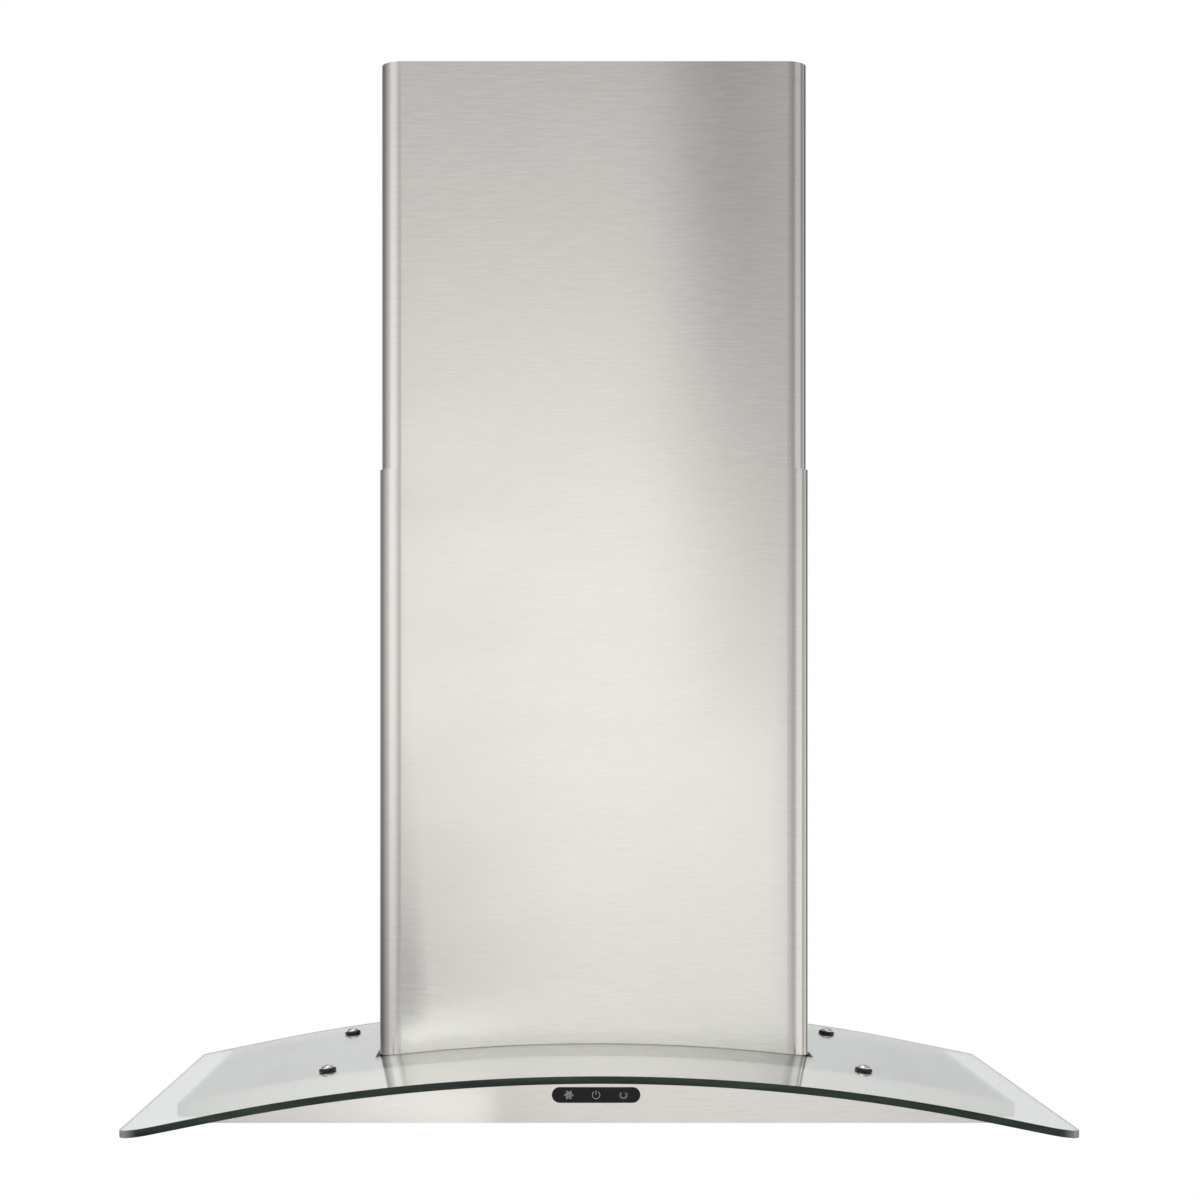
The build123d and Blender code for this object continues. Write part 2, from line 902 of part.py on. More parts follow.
def side_screws(half_width, y, z, sheet_behind):
    """A pair of screws, one through each side of a flue."""
    length = flue_sheet + sheet_behind + flue_screw_end
    fastener = screw(flue_screw_radius, length, flue_screw_head_radius, flue_screw_head_height)
    right = Pos(half_width, y, z) * Rot(0, 90, 0) * fastener
    left = Pos(-half_width, y, z) * Rot(0, -90, 0) * fastener
    return group([left, right])


def make_flue_clip_screws():
    """Screws that hold the lower flue to its clips."""
    y, z = clip_place()
    return side_screws(lower_flue_half, y, z, clip_sheet)


def bracket_screw_y():
    """Depth of the screws that join the upper flue to its bracket."""
    return upper_flue_back_y - flue_sheet - bracket_wing + bracket_screw_inset


def bracket_screw_z():
    """Height of the screws that join the upper flue to its bracket."""
    return upper_flue_top - bracket_top_inset - bracket_height / 2


def make_flue_bracket():
    """Wall bracket: a strip that is joggled back to the wall and has a wing at each end."""
    face_y = upper_flue_back_y - flue_sheet
    wing_x = upper_flue_half - flue_sheet
    foot = bracket_foot_half_width
    step = bracket_joggle_run
    t = bracket_sheet
    half_outline = [
        (0, wall_y),
        (foot, wall_y),
        (foot + step, face_y),
        (wing_x, face_y),
        (wing_x, face_y - bracket_wing),
        (wing_x - t, face_y - bracket_wing),
        (wing_x - t, face_y - t),
        (foot + step, face_y - t),
        (foot, wall_y - t),
        (0, wall_y - t),
    ]
    high = upper_flue_top - bracket_top_inset
    right = along_z(face_inside(Polyline(*half_outline, close=True)), high - bracket_height, high)
    bracket = right + mirror(right, about=Plane.YZ)
    z = bracket_screw_z()
    for side in (-1, 1):
        x = side * bracket_hole_spacing / 2
        bracket -= rod_y(bracket_hole_radius, wall_y - 2 * t, wall_y + t, x, z)
        ends = sorted((side * (wing_x - 2 * t), side * (wing_x + t)))
        bracket -= rod_x(flue_screw_radius, *ends, bracket_screw_y(), z)
    return bracket


def make_flue_bracket_screws():
    """Screws that hold the upper flue to its bracket."""
    return side_screws(upper_flue_half, bracket_screw_y(), bracket_screw_z(), bracket_sheet)


# ---------------------------------------------------------------- airbox


def airbox_lid_screw_places():
    """Y of the lid's screws on each side of the airbox, and their height."""
    z = airbox_lid_underside - airbox_lid_lip / 2
    return [(y, z) for y in (airbox_front_y + airbox_screw_inset, wall_y - airbox_screw_inset)]


def make_airbox():
    """Four walls on the curved top of the body, with out-turned feet and wall holes."""
    walls = block(-airbox_half, airbox_half, airbox_front_y, wall_y, 0, airbox_lid_underside)
    inside = airbox_half - airbox_sheet
    hollow = block(
        -inside,
        inside,
        airbox_front_y + airbox_sheet,
        wall_y - airbox_sheet,
        -overcut,
        airbox_top + overcut,
    )
    foot_half = airbox_half + airbox_flange
    foot = canopy_strip(-glass_gap, -glass_gap + airbox_sheet, foot_half)
    feet = along_y(foot, airbox_front_y - airbox_flange, wall_y - body_flange)
    box = walls - hollow
    below = under_canopy(-glass_gap, foot_half, -body_height)
    box -= along_y(below, airbox_front_y - overcut, wall_y + overcut)
    box += feet - hollow
    for x in (-wall_bolt_spacing_x / 2, wall_bolt_spacing_x / 2):
        for z_step in (-wall_bolt_spacing_z / 2, wall_bolt_spacing_z / 2):
            z = body_height + wall_bolt_rise + z_step
            box -= rod_y(wall_bolt_hole_radius, wall_y - 2 * airbox_sheet, wall_y + overcut, x, z)
    for y, z in airbox_lid_screw_places():
        box -= rod_x(box_screw_radius, -airbox_half - overcut, airbox_half + overcut, y, z)
    return box


def make_airbox_lid():
    """Lid with down-turned lips, the blower's mouth and a cable hole."""
    inside = airbox_half - airbox_sheet
    front = airbox_front_y + airbox_sheet
    back = wall_y - airbox_sheet
    lip_low = airbox_lid_underside - airbox_lid_lip
    lid = block(
        -airbox_half, airbox_half, airbox_front_y, wall_y, airbox_lid_underside, airbox_top
    )
    lid += block(-inside, inside, front, back, lip_low, airbox_lid_underside)
    lid -= block(
        -inside + airbox_sheet,
        inside - airbox_sheet,
        front + airbox_sheet,
        back - airbox_sheet,
        lip_low - overcut,
        airbox_lid_underside,
    )
    lid -= block(
        -scroll_half_width,
        scroll_half_width,
        throat_front_y,
        throat_back_y,
        airbox_lid_underside - overcut,
        airbox_top + overcut,
    )
    low = airbox_lid_underside - overcut
    high = airbox_top + overcut
    lid -= rod_z(cable_hole_radius, low, high, cable_hole_x, cable_hole_y)
    for y, z in airbox_lid_screw_places():
        lid -= rod_x(box_screw_radius, -inside - overcut, inside + overcut, y, z)
    for x, y in outlet_screw_places():
        lid -= rod_z(box_screw_radius, low, high, x, y)
    return lid


def make_airbox_lid_screws():
    """Two screws in each side of the airbox, into the lid's lips."""
    fastener = screw(
        box_screw_radius, box_screw_length, box_screw_head_radius, box_screw_head_height
    )
    pieces = []
    for y, z in airbox_lid_screw_places():
        pieces.append(Pos(airbox_half, y, z) * Rot(0, 90, 0) * fastener)
        pieces.append(Pos(-airbox_half, y, z) * Rot(0, -90, 0) * fastener)
    return group(pieces)


# ---------------------------------------------------------------- outlet


def outlet_screw_places():
    """Screws that clamp collar, lid and scroll together, beside the blower's mouth."""
    x = scroll_half_width + scroll_sheet + scroll_flange / 2
    return [
        (side * x, collar_y + end * outlet_screw_spacing / 2) for side in (-1, 1) for end in (-1, 1)
    ]


def make_outlet_collar():
    """Round spigot for the duct, on a square flange, with a stop bead for the flaps."""
    bore = collar_radius - collar_sheet
    half = collar_flange_half_width
    flange = Pos(0, collar_y) * RectangleRounded(2 * half, 2 * half, collar_flange_corner)
    collar = along_z(flange, airbox_top, collar_floor)
    collar += rod_z(collar_radius, airbox_top, collar_top, 0, collar_y)
    collar -= rod_z(bore, airbox_top - overcut, collar_top + overcut, 0, collar_y)
    stop_top = damper_z - damper_flap_thickness / 2 - damper_stop_gap
    stop = rod_z(bore, stop_top - damper_stop_height, stop_top, 0, collar_y)
    stop -= rod_z(bore - damper_stop_width, 0, collar_top, 0, collar_y)
    clear = damper_knuckle_radius + damper_stop_gap
    stop -= block(-collar_radius, collar_radius, collar_y - clear, collar_y + clear, 0, collar_top)
    collar += stop
    collar -= rod_x(damper_pin_radius, -2 * collar_radius, 2 * collar_radius, collar_y, damper_z)
    for x, y in outlet_screw_places():
        collar -= rod_z(box_screw_radius, airbox_top - overcut, collar_floor + overcut, x, y)
    return collar


def make_outlet_screws():
    """Four screws down through the collar's flange, the lid and the scroll's flanges."""
    fastener = screw(
        box_screw_radius, box_screw_length, box_screw_head_radius, box_screw_head_height
    )
    return group(Pos(x, y, collar_floor) * fastener for x, y in outlet_screw_places())


def make_damper_pin():
    """Pin across the collar that both flaps hang on."""
    reach = math.sqrt(collar_radius**2 - damper_pin_radius**2)
    return rod_x(damper_pin_radius, -reach, reach, collar_y, damper_z)


def make_damper_flap(side):
    """Half-disc flap with two knuckles on the pin; the rear one is the front one turned."""
    radius = collar_radius - collar_sheet - damper_edge_gap
    edge = damper_knuckle_radius + damper_knuckle_gap / 4
    half_disc = Circle(radius) - Pos(0, radius - edge) * Rectangle(3 * radius, 2 * radius)
    low = -damper_flap_thickness / 2
    high = damper_flap_thickness / 2
    flap = along_z(half_disc, low, high)
    pitch = damper_knuckle_length + damper_knuckle_gap
    bore = damper_pin_radius + damper_pin_play
    for start in (-2 * pitch + damper_knuckle_gap / 2, damper_knuckle_gap / 2):
        end = start + damper_knuckle_length
        flap += block(start, end, -edge - overcut, 0, low, high)
        flap += rod_x(damper_knuckle_radius, start, end, 0, 0)
        flap -= rod_x(bore, start - overcut, end + overcut, 0, 0)
    turn = 0 if side < 0 else 180
    return Pos(0, collar_y, damper_z) * Rot(0, 0, turn) * flap


# ---------------------------------------------------------------- blower


def scroll_outline(grow):
    """Spiral case in Y and Z: throat, tongue, three growing quarter arcs, back wall."""
    step = scroll_step
    first = scroll_start + step / 2 + grow
    throat = throat_front_y - grow
    tongue_y = throat_front_y - scroll_tongue_radius
    back = throat_back_y + grow
    top = airbox_lid_underside
    low_y = wheel_y - step / 2
    high_y = wheel_y + step / 2
    return face_inside(
        Line((throat, top), (throat, tongue_z)),
        CenterArc((tongue_y, tongue_z), scroll_tongue_radius - grow, 0, -90),
        CenterArc((low_y, wheel_z - step / 2), first, 90, 90),
        CenterArc((high_y, wheel_z - step / 2), first + step, 180, 90),
        CenterArc((high_y, wheel_z + step / 2), first + 2 * step, 270, 90),
        Line((back, wheel_z + step / 2), (back, top)),
        Line((back, top), (throat, top)),
    )


def make_scroll_wrap():
    """Band of sheet bent round the spiral, open at the mouth."""
    band = scroll_outline(scroll_sheet) - scroll_outline(0.0)
    return along_x(band, -scroll_half_width, scroll_half_width)


def inlet_curl_face(curl_x, eye):
    """Section of a curled inlet in X and radius: a quarter turn spun in short cones."""
    step = math.pi / 2 / inlet_curl_steps
    angles = [index * step - math.pi / 2 for index in range(inlet_curl_steps + 1)]
    outline = []
    for radius, order in ((inlet_curl, angles), (inlet_curl - scroll_sheet, angles[::-1])):
        outline += [(curl_x + radius * math.cos(a), eye + radius * math.sin(a)) for a in order]
    return face_inside(Polyline(*outline, close=True))


def make_scroll_side(side):
    """End plate of the scroll with a curled inlet and a flange under the lid."""
    inner = scroll_half_width
    outer = scroll_half_width + scroll_sheet
    plate = along_x(scroll_outline(scroll_sheet), inner, outer)
    eye = inlet_radius + inlet_curl
    plate -= rod_x(eye, inner - overcut, outer + overcut, wheel_y, wheel_z)
    ring = revolve(inlet_curl_face(outer - inlet_curl, eye), axis=Axis.X)
    plate += Pos(0, wheel_y, wheel_z) * ring
    plate += block(
        outer,
        outer + scroll_flange,
        throat_front_y,
        throat_back_y,
        airbox_lid_underside - scroll_sheet,
        airbox_lid_underside,
    )
    for x, y in outlet_screw_places():
        plate -= rod_z(box_screw_radius, tongue_z, airbox_top, abs(x), y)
    return plate if side > 0 else mirror(plate, about=Plane.YZ)


def blade_face():
    """Forward-curved blade in Y and Z: a strip bent in a few flats between the wheel's radii."""
    middle_radius = wheel_radius - wheel_blade_depth / 2
    half_turn = math.asin(wheel_blade_depth / 2 / wheel_blade_curve)
    centre_y = -wheel_blade_curve * math.cos(half_turn)
    bends = range(wheel_blade_steps + 1)
    angles = [half_turn * (2 * bend / wheel_blade_steps - 1) for bend in bends]
    outer = wheel_blade_curve + wheel_blade_thickness / 2
    inner = wheel_blade_curve - wheel_blade_thickness / 2
    points = []
    for radius, turns in ((outer, angles), (inner, reversed(angles))):
        for a in turns:
            points.append((centre_y + radius * math.cos(a), middle_radius + radius * math.sin(a)))
    return Polygon(*points, align=None)


def make_wheel_disc():
    """Centre disc of the wheel, with its hub."""
    disc = rod_x(wheel_radius, -wheel_disc_thickness / 2, wheel_disc_thickness / 2, 0, 0)
    disc += rod_x(wheel_hub_radius, -wheel_hub_length / 2, wheel_hub_length / 2, 0, 0)
    disc -= rod_x(shaft_radius, -wheel_hub_length, wheel_hub_length, 0, 0)
    return Pos(0, wheel_y, wheel_z) * disc


def make_blower_wheel():
    """Two rows of separate blades, one on each face of the centre disc."""
    blade = along_x(blade_face(), wheel_disc_thickness / 2, wheel_half_width - wheel_ring_thickness)
    pitch = 360.0 / wheel_blade_count
    row = [Pos(0, wheel_y, wheel_z) * Rot(pitch * i, 0, 0) * blade for i in range(wheel_blade_count)]
    return group(row + [mirror(blade, about=Plane.YZ) for blade in row])


def make_wheel_rings():
    """Rings that close the open ends of both rows of blades."""
    low = wheel_half_width - wheel_ring_thickness
    ring = rod_x(wheel_radius, low, wheel_half_width, wheel_y, wheel_z)
    inner = wheel_radius - wheel_blade_depth
    ring -= rod_x(inner, low - overcut, wheel_half_width + overcut, wheel_y, wheel_z)
    return group([ring, mirror(ring, about=Plane.YZ)])


def make_motor_shaft():
    """Shaft from inside the motor to the far side of the wheel's hub."""
    low = -motor_disc_gap - shaft_depth
    return rod_x(shaft_radius, low, wheel_hub_length / 2, wheel_y, wheel_z)


def make_motor_body():
    """Round motor with a bearing boss, bored for the shaft."""
    face = -motor_disc_gap
    body = rod_x(motor_radius, face - motor_length, face, wheel_y, wheel_z)
    body = chamfer(body.edges().filter_by(GeomType.CIRCLE), motor_chamfer)
    body += rod_x(motor_boss_radius, face, face + motor_boss_length, wheel_y, wheel_z)
    bore_end = face - shaft_depth - overcut
    bore = shaft_radius + shaft_play
    return body - rod_x(bore, bore_end, face + motor_boss_length + overcut, wheel_y, wheel_z)


def bush_places():
    """Y and Z of the three rubber bushes round the left-hand inlet."""
    reach = inlet_radius + inlet_curl + bracket_pad_inset
    angles = [math.radians(angle) for angle in (90, 210, 330)]
    return [(wheel_y + reach * math.cos(a), wheel_z + reach * math.sin(a)) for a in angles]


def make_motor_bracket():
    """Three-armed plate that carries the motor in the middle of the inlet."""
    plate = Circle(bracket_disc_radius)
    reach = inlet_radius + inlet_curl + bracket_pad_inset
    for angle in (90, 210, 330):
        arm = Pos(reach / 2, 0) * Rectangle(reach, bracket_arm_width)
        pad = Pos(reach, 0) * Circle(bracket_pad_radius)
        plate += Rot(0, 0, angle) * (arm + pad)
    back = -motor_disc_gap - motor_length
    bracket = along_x(plate, back - bracket_plate, back)
    return Pos(0, wheel_y, wheel_z) * bracket


def make_motor_bushes():
    """Three rubber bushes between the bracket's pads and the scroll."""
    low = -motor_disc_gap - motor_length
    high = -scroll_half_width - scroll_sheet
    return group(rod_x(bush_radius, low, high, y, z) for y, z in bush_places())


# ---------------------------------------------------------------- control box


def make_control_box():
    """Open steel box on the airbox lid, with four studs for the circuit board."""
    low = airbox_top
    high = airbox_top + box_height
    box = block(box_x_low, box_x_high, box_y_low, box_y_high, low, high)
    box -= block(
        box_x_low + box_sheet,
        box_x_high - box_sheet,
        box_y_low + box_sheet,
        box_y_high - box_sheet,
        low + box_sheet,
        high + overcut,
    )
    box -= rod_z(cable_hole_radius, low - overcut, low + 2 * box_sheet, cable_hole_x, cable_hole_y)
    inset = 2 * box_stud_radius
    for side in (-1, 1):
        x = cable_hole_x + side * (main_board_width / 2 - inset)
        for y in (board_y_low + inset, board_y_high - inset):
            box += rod_z(box_stud_radius, low, board_z, x, y)
    return box


def make_control_box_lid():
    """Cover of the control box, with the hole for the supply cable's grommet."""
    low = airbox_top + box_height
    high = low + box_sheet
    lid = block(box_x_low, box_x_high, box_y_low, box_y_high, low, high)
    return lid - rod_z(grommet_neck_radius, low - overcut, high + overcut, cable_hole_x, cable_hole_y)


def make_cable_grommet():
    """Rubber grommet for the supply cable: two lips and a neck in the cover's hole."""
    low = airbox_top + box_height - grommet_lip
    neck_low = airbox_top + box_height
    neck_high = neck_low + box_sheet
    grommet = rod_z(grommet_radius, low, neck_low, cable_hole_x, cable_hole_y)
    grommet += rod_z(grommet_neck_radius, neck_low, neck_high, cable_hole_x, cable_hole_y)
    grommet += rod_z(
        grommet_radius, neck_high, neck_high + grommet_lip, cable_hole_x, cable_hole_y
    )
    return grommet - rod_z(
        grommet_bore_radius, low - overcut, neck_high + grommet_lip + overcut, cable_hole_x, cable_hole_y
    )


def make_main_board():
    """Power and control board with its relay and transformer."""
    half = main_board_width / 2
    top = board_z + board_thickness
    x = cable_hole_x
    board = block(x - half, x + half, board_y_low, board_y_high, board_z, top)
    left = x - half + board_part_margin
    back = board_y_high - transformer_inset
    front = back - transformer_length
    board += block(left, left + transformer_width, front, back, top, top + transformer_height)
    right = x + half - board_part_margin
    back = board_y_high - relay_inset
    front = back - relay_length
    return board + block(right - relay_width, right, front, back, top, top + relay_height)


def make_capacitor():
    """Motor run capacitor, a can that lies along the board."""
    top = board_z + board_thickness
    x = cable_hole_x + main_board_width / 2 - capacitor_radius
    high = board_y_high - transformer_inset - transformer_length - board_part_margin
    can = rod_y(capacitor_radius, high - capacitor_length, high, x, top + capacitor_radius)
    return chamfer(can.edges().filter_by(GeomType.CIRCLE), capacitor_edge)


def make_terminal_block():
    """Supply terminals at the front end of the board."""
    top = board_z + board_thickness
    x_low = cable_hole_x - main_board_width / 2
    y_low = board_y_low + terminal_inset
    piece = block(
        x_low, x_low + terminal_width, y_low, y_low + terminal_length, top, top + terminal_height
    )
    pitch = terminal_length / 4
    for index in range(4):
        y = y_low + pitch * (index + 0.5)
        hole = rod_z(pitch / 4, top + terminal_height / 2, top + 2 * terminal_height)
        piece -= Pos(x_low + terminal_width / 2, y, 0) * hole
    return piece


# ---------------------------------------------------------------- cables in the hood


def cable(radius, points):
    """Cable on straight runs joined by arcs, its round section drawn with a few sides."""
    route = FilletPolyline(*points, radius=cable_bend)
    start = Plane(origin=route @ 0, z_dir=route % 0)
    return sweep(start * RegularPolygon(radius, cable_side_count), path=route)


def cable_corner(row):
    """X and Y inside the airbox's front right corner where a cable turns upwards."""
    x = airbox_half - cable_side_gap - row * cable_side_pitch
    y = airbox_front_y + cable_front_gap + (2 - row) * cable_front_pitch
    return x, y


def cable_climb(row):
    """Last points of a cable: up inside the airbox and onto the circuit board."""
    shift = (cable_rows_middle - row) * cable_spacing
    x = cable_hole_x + shift
    y_inside = cable_corner(row)[1]
    corner_x = airbox_half - cable_side_gap - cable_side_pitch + shift
    end_z = board_z + board_thickness / 2
    return [
        (corner_x, y_inside, airbox_lid_underside - cable_top_drop),
        (x, cable_hole_y, airbox_lid_underside - cable_hole_drop),
        (x, cable_hole_y, end_z),
        (x, board_y_low, end_z),
    ]


def make_touch_cable():
    """From the touch board up to the control box."""
    socket_back = control_thickness - control_proud + board_thickness + touch_socket_depth
    start_y = body_front_y + socket_back
    start_x = control_width / 2 + board_overhang - board_part_margin - touch_socket_width / 2
    x, y = cable_corner(2)
    z = control_centre_height
    points = [
        (start_x, start_y, z),
        (start_x, start_y + touch_cable_lead, z),
        (x, y - cable_approach, z + cable_side_pitch),
        (x, y, z + cable_lift),
        *cable_climb(2),
    ]
    return cable(thin_cable_radius, points)


def make_lamp_cables():
    """One cable from the crown of each lamp can up to the control box."""
    top = panel_bottom + lamp_can_height
    run_z = top + lamp_cable_rise
    lamp_x = lamp_spread / 2
    x, y = cable_corner(1)
    right = [
        (lamp_x, lamp_y, top),
        (lamp_x, lamp_y, run_z),
        (x, y - cable_approach, run_z),
        (x, y, run_z + cable_lift),
        *cable_climb(1),
    ]
    x, y = cable_corner(0)
    crossing_x = airbox_half - lamp_cable_crossing
    crossing_y = lamp_y + lamp_cable_set_back
    crossing_z = run_z + cable_side_pitch
    left = [
        (-lamp_x, lamp_y, top),
        (-lamp_x, lamp_y, run_z),
        (-crossing_x, crossing_y, crossing_z),
        (crossing_x, crossing_y + lamp_cable_rise, crossing_z),
        (x, y - cable_approach / 2, crossing_z + lamp_cable_rise),
        (x, y, crossing_z + cable_lift),
        *cable_climb(0),
    ]
    return group([cable(thin_cable_radius, right), cable(thin_cable_radius, left)])


def make_motor_cable():
    """From the motor's back over the front of the scroll to the control box."""
    back = -motor_disc_gap - motor_length - bracket_plate
    side_x = back - motor_cable_side
    start_y = wheel_y + motor_cable_rise
    run_y = throat_front_y - motor_cable_front
    run_z = airbox_lid_underside - motor_cable_drop
    end_z = board_z + board_thickness / 2
    x = cable_hole_x - motor_cable_offset
    points = [
        (back, start_y, wheel_z),
        (side_x, start_y, wheel_z),
        (side_x, run_y, run_z),
        (x, run_y + cable_side_pitch, run_z),
        (x, cable_hole_y, run_z + cable_side_pitch),
        (x, cable_hole_y, end_z),
        (x, board_y_low, end_z),
    ]
    return cable(motor_cable_radius, points)


# ---------------------------------------------------------------- grease filters


def filter_edges(side):
    """X and Y limits of a filter in its opening."""
    centre = side * filter_centre_x
    half = filter_opening_width / 2 - filter_fit
    return centre - half, centre + half, filter_front_y + filter_fit, filter_back_y - filter_fit


def catch_pocket(side, low, high):
    """Space in a filter's front edge for its catch."""
    centre = side * filter_centre_x
    half = catch_pocket_width / 2
    front = filter_front_y + filter_fit
    return block(
        centre - half, centre + half, front + filter_sheet, front + catch_pocket_depth, low, high
    )


def make_filter_frame(side):
    """Channel frame, with two tabs over the panel's back lip and a pocket for the catch."""
    x_low, x_high, y_low, y_high = filter_edges(side)
    t = filter_sheet
    rail = filter_rail
    low = filter_bottom
    high = filter_top
    centre = side * filter_centre_x
    front_rail = block(x_low, x_high, y_low, y_high, low, high)
    window = block(
        x_low + rail, x_high - rail, y_low + rail, y_high - rail, low - overcut, high + overcut
    )
    channel = block(x_low + t, x_high - t, y_low + t, y_high - t, low + t, high - t)
    pocket_half = catch_pocket_width / 2
    cover = block(
        centre - pocket_half,
        centre + pocket_half,
        y_low + t,
        y_low + catch_pocket_depth,
        low,
        high,
    )
    frame = (front_rail - window) + cover - channel
    nose_low = panel_bottom - catch_nose_height / 2 + body_sheet / 2
    play = catch_play
    frame -= block(
        centre - catch_nose_width / 2 - play,
        centre + catch_nose_width / 2 + play,
        y_low - overcut,
        y_low + 2 * t,
        nose_low - play,
        nose_low + catch_nose_height + play,
    )
    grip_front = catch_grip_front(y_low)
    frame -= block(
        centre - catch_grip_width / 2 - play,
        centre + catch_grip_width / 2 + play,
        grip_front - play,
        grip_front + catch_grip_thickness + catch_travel + play,
        low - overcut,
        low + 2 * t,
    )
    for end in (-1, 1):
        middle = centre + end * filter_tab_spacing / 2
        frame += block(
            middle - filter_tab_width / 2,
            middle + filter_tab_width / 2,
            y_high - t,
            filter_back_y + filter_tab_reach,
            filter_pivot_z,
            filter_pivot_z + filter_tab_thickness,
        )
    return frame


def make_filter_mesh(side):
    """Pad in the channel: two mesh faces with a pleated layer between, cut round the catch."""
    x_low, x_high, y_low, y_high = filter_edges(side)
    t = filter_sheet
    low = filter_bottom + t
    high = filter_top - t
    left = x_low + t
    right = x_high - t
    face = filter_face_thickness
    pad = block(left, right, y_low + t, y_high - t, low, low + face)
    pad += block(left, right, y_low + t, y_high - t, high - face, high)
    pleats = round((right - left) / filter_pleat_pitch)
    half_pitch = (right - left) / pleats / 2
    embed = face / 2
    valley = low + embed
    crest = high - embed - filter_pleat_thickness
    zigzag = [
        (left + index * half_pitch, crest if index % 2 else valley) for index in range(2 * pleats + 1)
    ]
    lifted = [(x, z + filter_pleat_thickness) for x, z in reversed(zigzag)]
    pleat_face = face_inside(Polyline(*zigzag, *lifted, close=True))
    pad += along_y(pleat_face, y_low + t, y_high - t)
    return pad - catch_pocket(side, filter_bottom, filter_top)


def catch_grip_front(y_low):
    """Front face of the catch's finger grip."""
    return y_low + filter_rail + catch_play


def make_filter_catch(side):
    """Sliding catch: a body in the pocket, a nose in the panel's notch and a grip below."""
    y_low = filter_edges(side)[2]
    centre = side * filter_centre_x
    body_front = y_low + filter_sheet + catch_play
    low = filter_bottom + filter_sheet + catch_play
    high = filter_top - filter_sheet - catch_play
    piece = block(
        centre - catch_width / 2,
        centre + catch_width / 2,
        body_front,
        body_front + catch_length,
        low,
        high,
    )
    nose_low = panel_bottom - catch_nose_height / 2 + body_sheet / 2
    nose = block(
        centre - catch_nose_width / 2,
        centre + catch_nose_width / 2,
        y_low - catch_nose_reach,
        body_front,
        nose_low,
        nose_low + catch_nose_height,
    )
    tip = nose.edges().filter_by(Axis.X).group_by(Axis.Y)[0]
    nose = fillet(tip, catch_nose_round)
    grip_front = catch_grip_front(y_low)
    grip = block(
        centre - catch_grip_width / 2,
        centre + catch_grip_width / 2,
        grip_front,
        grip_front + catch_grip_thickness,
        filter_bottom - catch_grip_drop,
        low,
    )
    return piece + nose + grip


def make_catch_spring(side):
    """Compression spring behind the catch, as the sleeve that its coils fill."""
    y_low = filter_edges(side)[2]
    start = y_low + filter_sheet + catch_play + catch_length
    end = y_low + catch_pocket_depth
    middle_z = (filter_bottom + filter_top) / 2
    x = side * filter_centre_x
    sleeve = rod_y(spring_radius, start, end, x, middle_z)
    return sleeve - rod_y(spring_radius - spring_wall, start - overcut, end + overcut, x, middle_z)


# ---------------------------------------------------------------- every sub-part

sub_parts = {
    "glass_canopy": make_glass_canopy(),
    "glass_sleeves": at_glass_screws(make_glass_sleeve()),
    "glass_washers": at_glass_screws(make_glass_washer()),
    "glass_screws": at_glass_screws(make_glass_screw()),
    "glass_nuts": at_glass_screws(make_glass_nut()),
    "body_shell": make_body_shell(),
    "body_back": make_body_back(),
    "bottom_panel": make_bottom_panel(),
    "bottom_panel_screws": make_bottom_panel_screws(),
    "control_panel": make_control_panel(),
    "touch_board": make_touch_board(),
    "lower_flue": make_lower_flue(),
    "flue_clips": make_flue_clips(),
    "flue_clip_screws": make_flue_clip_screws(),
    "upper_flue": make_upper_flue(),
    "flue_bracket": make_flue_bracket(),
    "flue_bracket_screws": make_flue_bracket_screws(),
    "airbox": make_airbox(),
    "airbox_lid": make_airbox_lid(),
    "airbox_lid_screws": make_airbox_lid_screws(),
    "outlet_collar": make_outlet_collar(),
    "outlet_screws": make_outlet_screws(),
    "damper_pin": make_damper_pin(),
    "damper_flap_front": make_damper_flap(-1),
    "damper_flap_rear": make_damper_flap(1),
    "scroll_wrap": make_scroll_wrap(),
    "scroll_side_left": make_scroll_side(-1),
    "scroll_side_right": make_scroll_side(1),
    "blower_wheel": make_blower_wheel(),
    "wheel_rings": make_wheel_rings(),
    "wheel_disc": make_wheel_disc(),
    "motor_shaft": make_motor_shaft(),
    "motor_body": make_motor_body(),
    "motor_bracket": make_motor_bracket(),
    "motor_bushes": make_motor_bushes(),
    "control_box": make_control_box(),
    "control_box_lid": make_control_box_lid(),
    "cable_grommet": make_cable_grommet(),
    "main_board": make_main_board(),
    "capacitor": make_capacitor(),
    "terminal_block": make_terminal_block(),
    "touch_cable": make_touch_cable(),
    "lamp_cables": make_lamp_cables(),
    "motor_cable": make_motor_cable(),
}
for side, hand in ((-1, "left"), (1, "right")):
    sub_parts[f"lamp_bezel_{hand}"] = make_lamp_bezel(side)
    sub_parts[f"lamp_can_{hand}"] = make_lamp_can(side)
    sub_parts[f"lamp_lens_{hand}"] = make_lamp_lens(side)
    sub_parts[f"lamp_bulb_{hand}"] = make_lamp_bulb(side)
    sub_parts[f"filter_frame_{hand}"] = make_filter_frame(side)
    sub_parts[f"filter_mesh_{hand}"] = make_filter_mesh(side)
    sub_parts[f"filter_catch_{hand}"] = make_filter_catch(side)
    sub_parts[f"catch_spring_{hand}"] = make_catch_spring(side)

os.makedirs("parts", exist_ok=True)
for node, solid in sub_parts.items():
    export_step(solid, f"parts/{node}.step")
    print(f"{node}: {len(solid.solids())} solids, {solid.volume:.0f} mm3")
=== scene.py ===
"""Finishes, fine parts, light and camera for a wall-mounted cooker hood with a bent glass canopy.

Everything is in metres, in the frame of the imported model: X across the hood, Y towards the wall and
Z up. Each sub-assembly is a class that makes its own pieces and dresses them.
"""

from __future__ import annotations

import json
import logging
import math
from dataclasses import dataclass
from enum import Enum

import bmesh
import bpy
from mathutils import Matrix, Vector


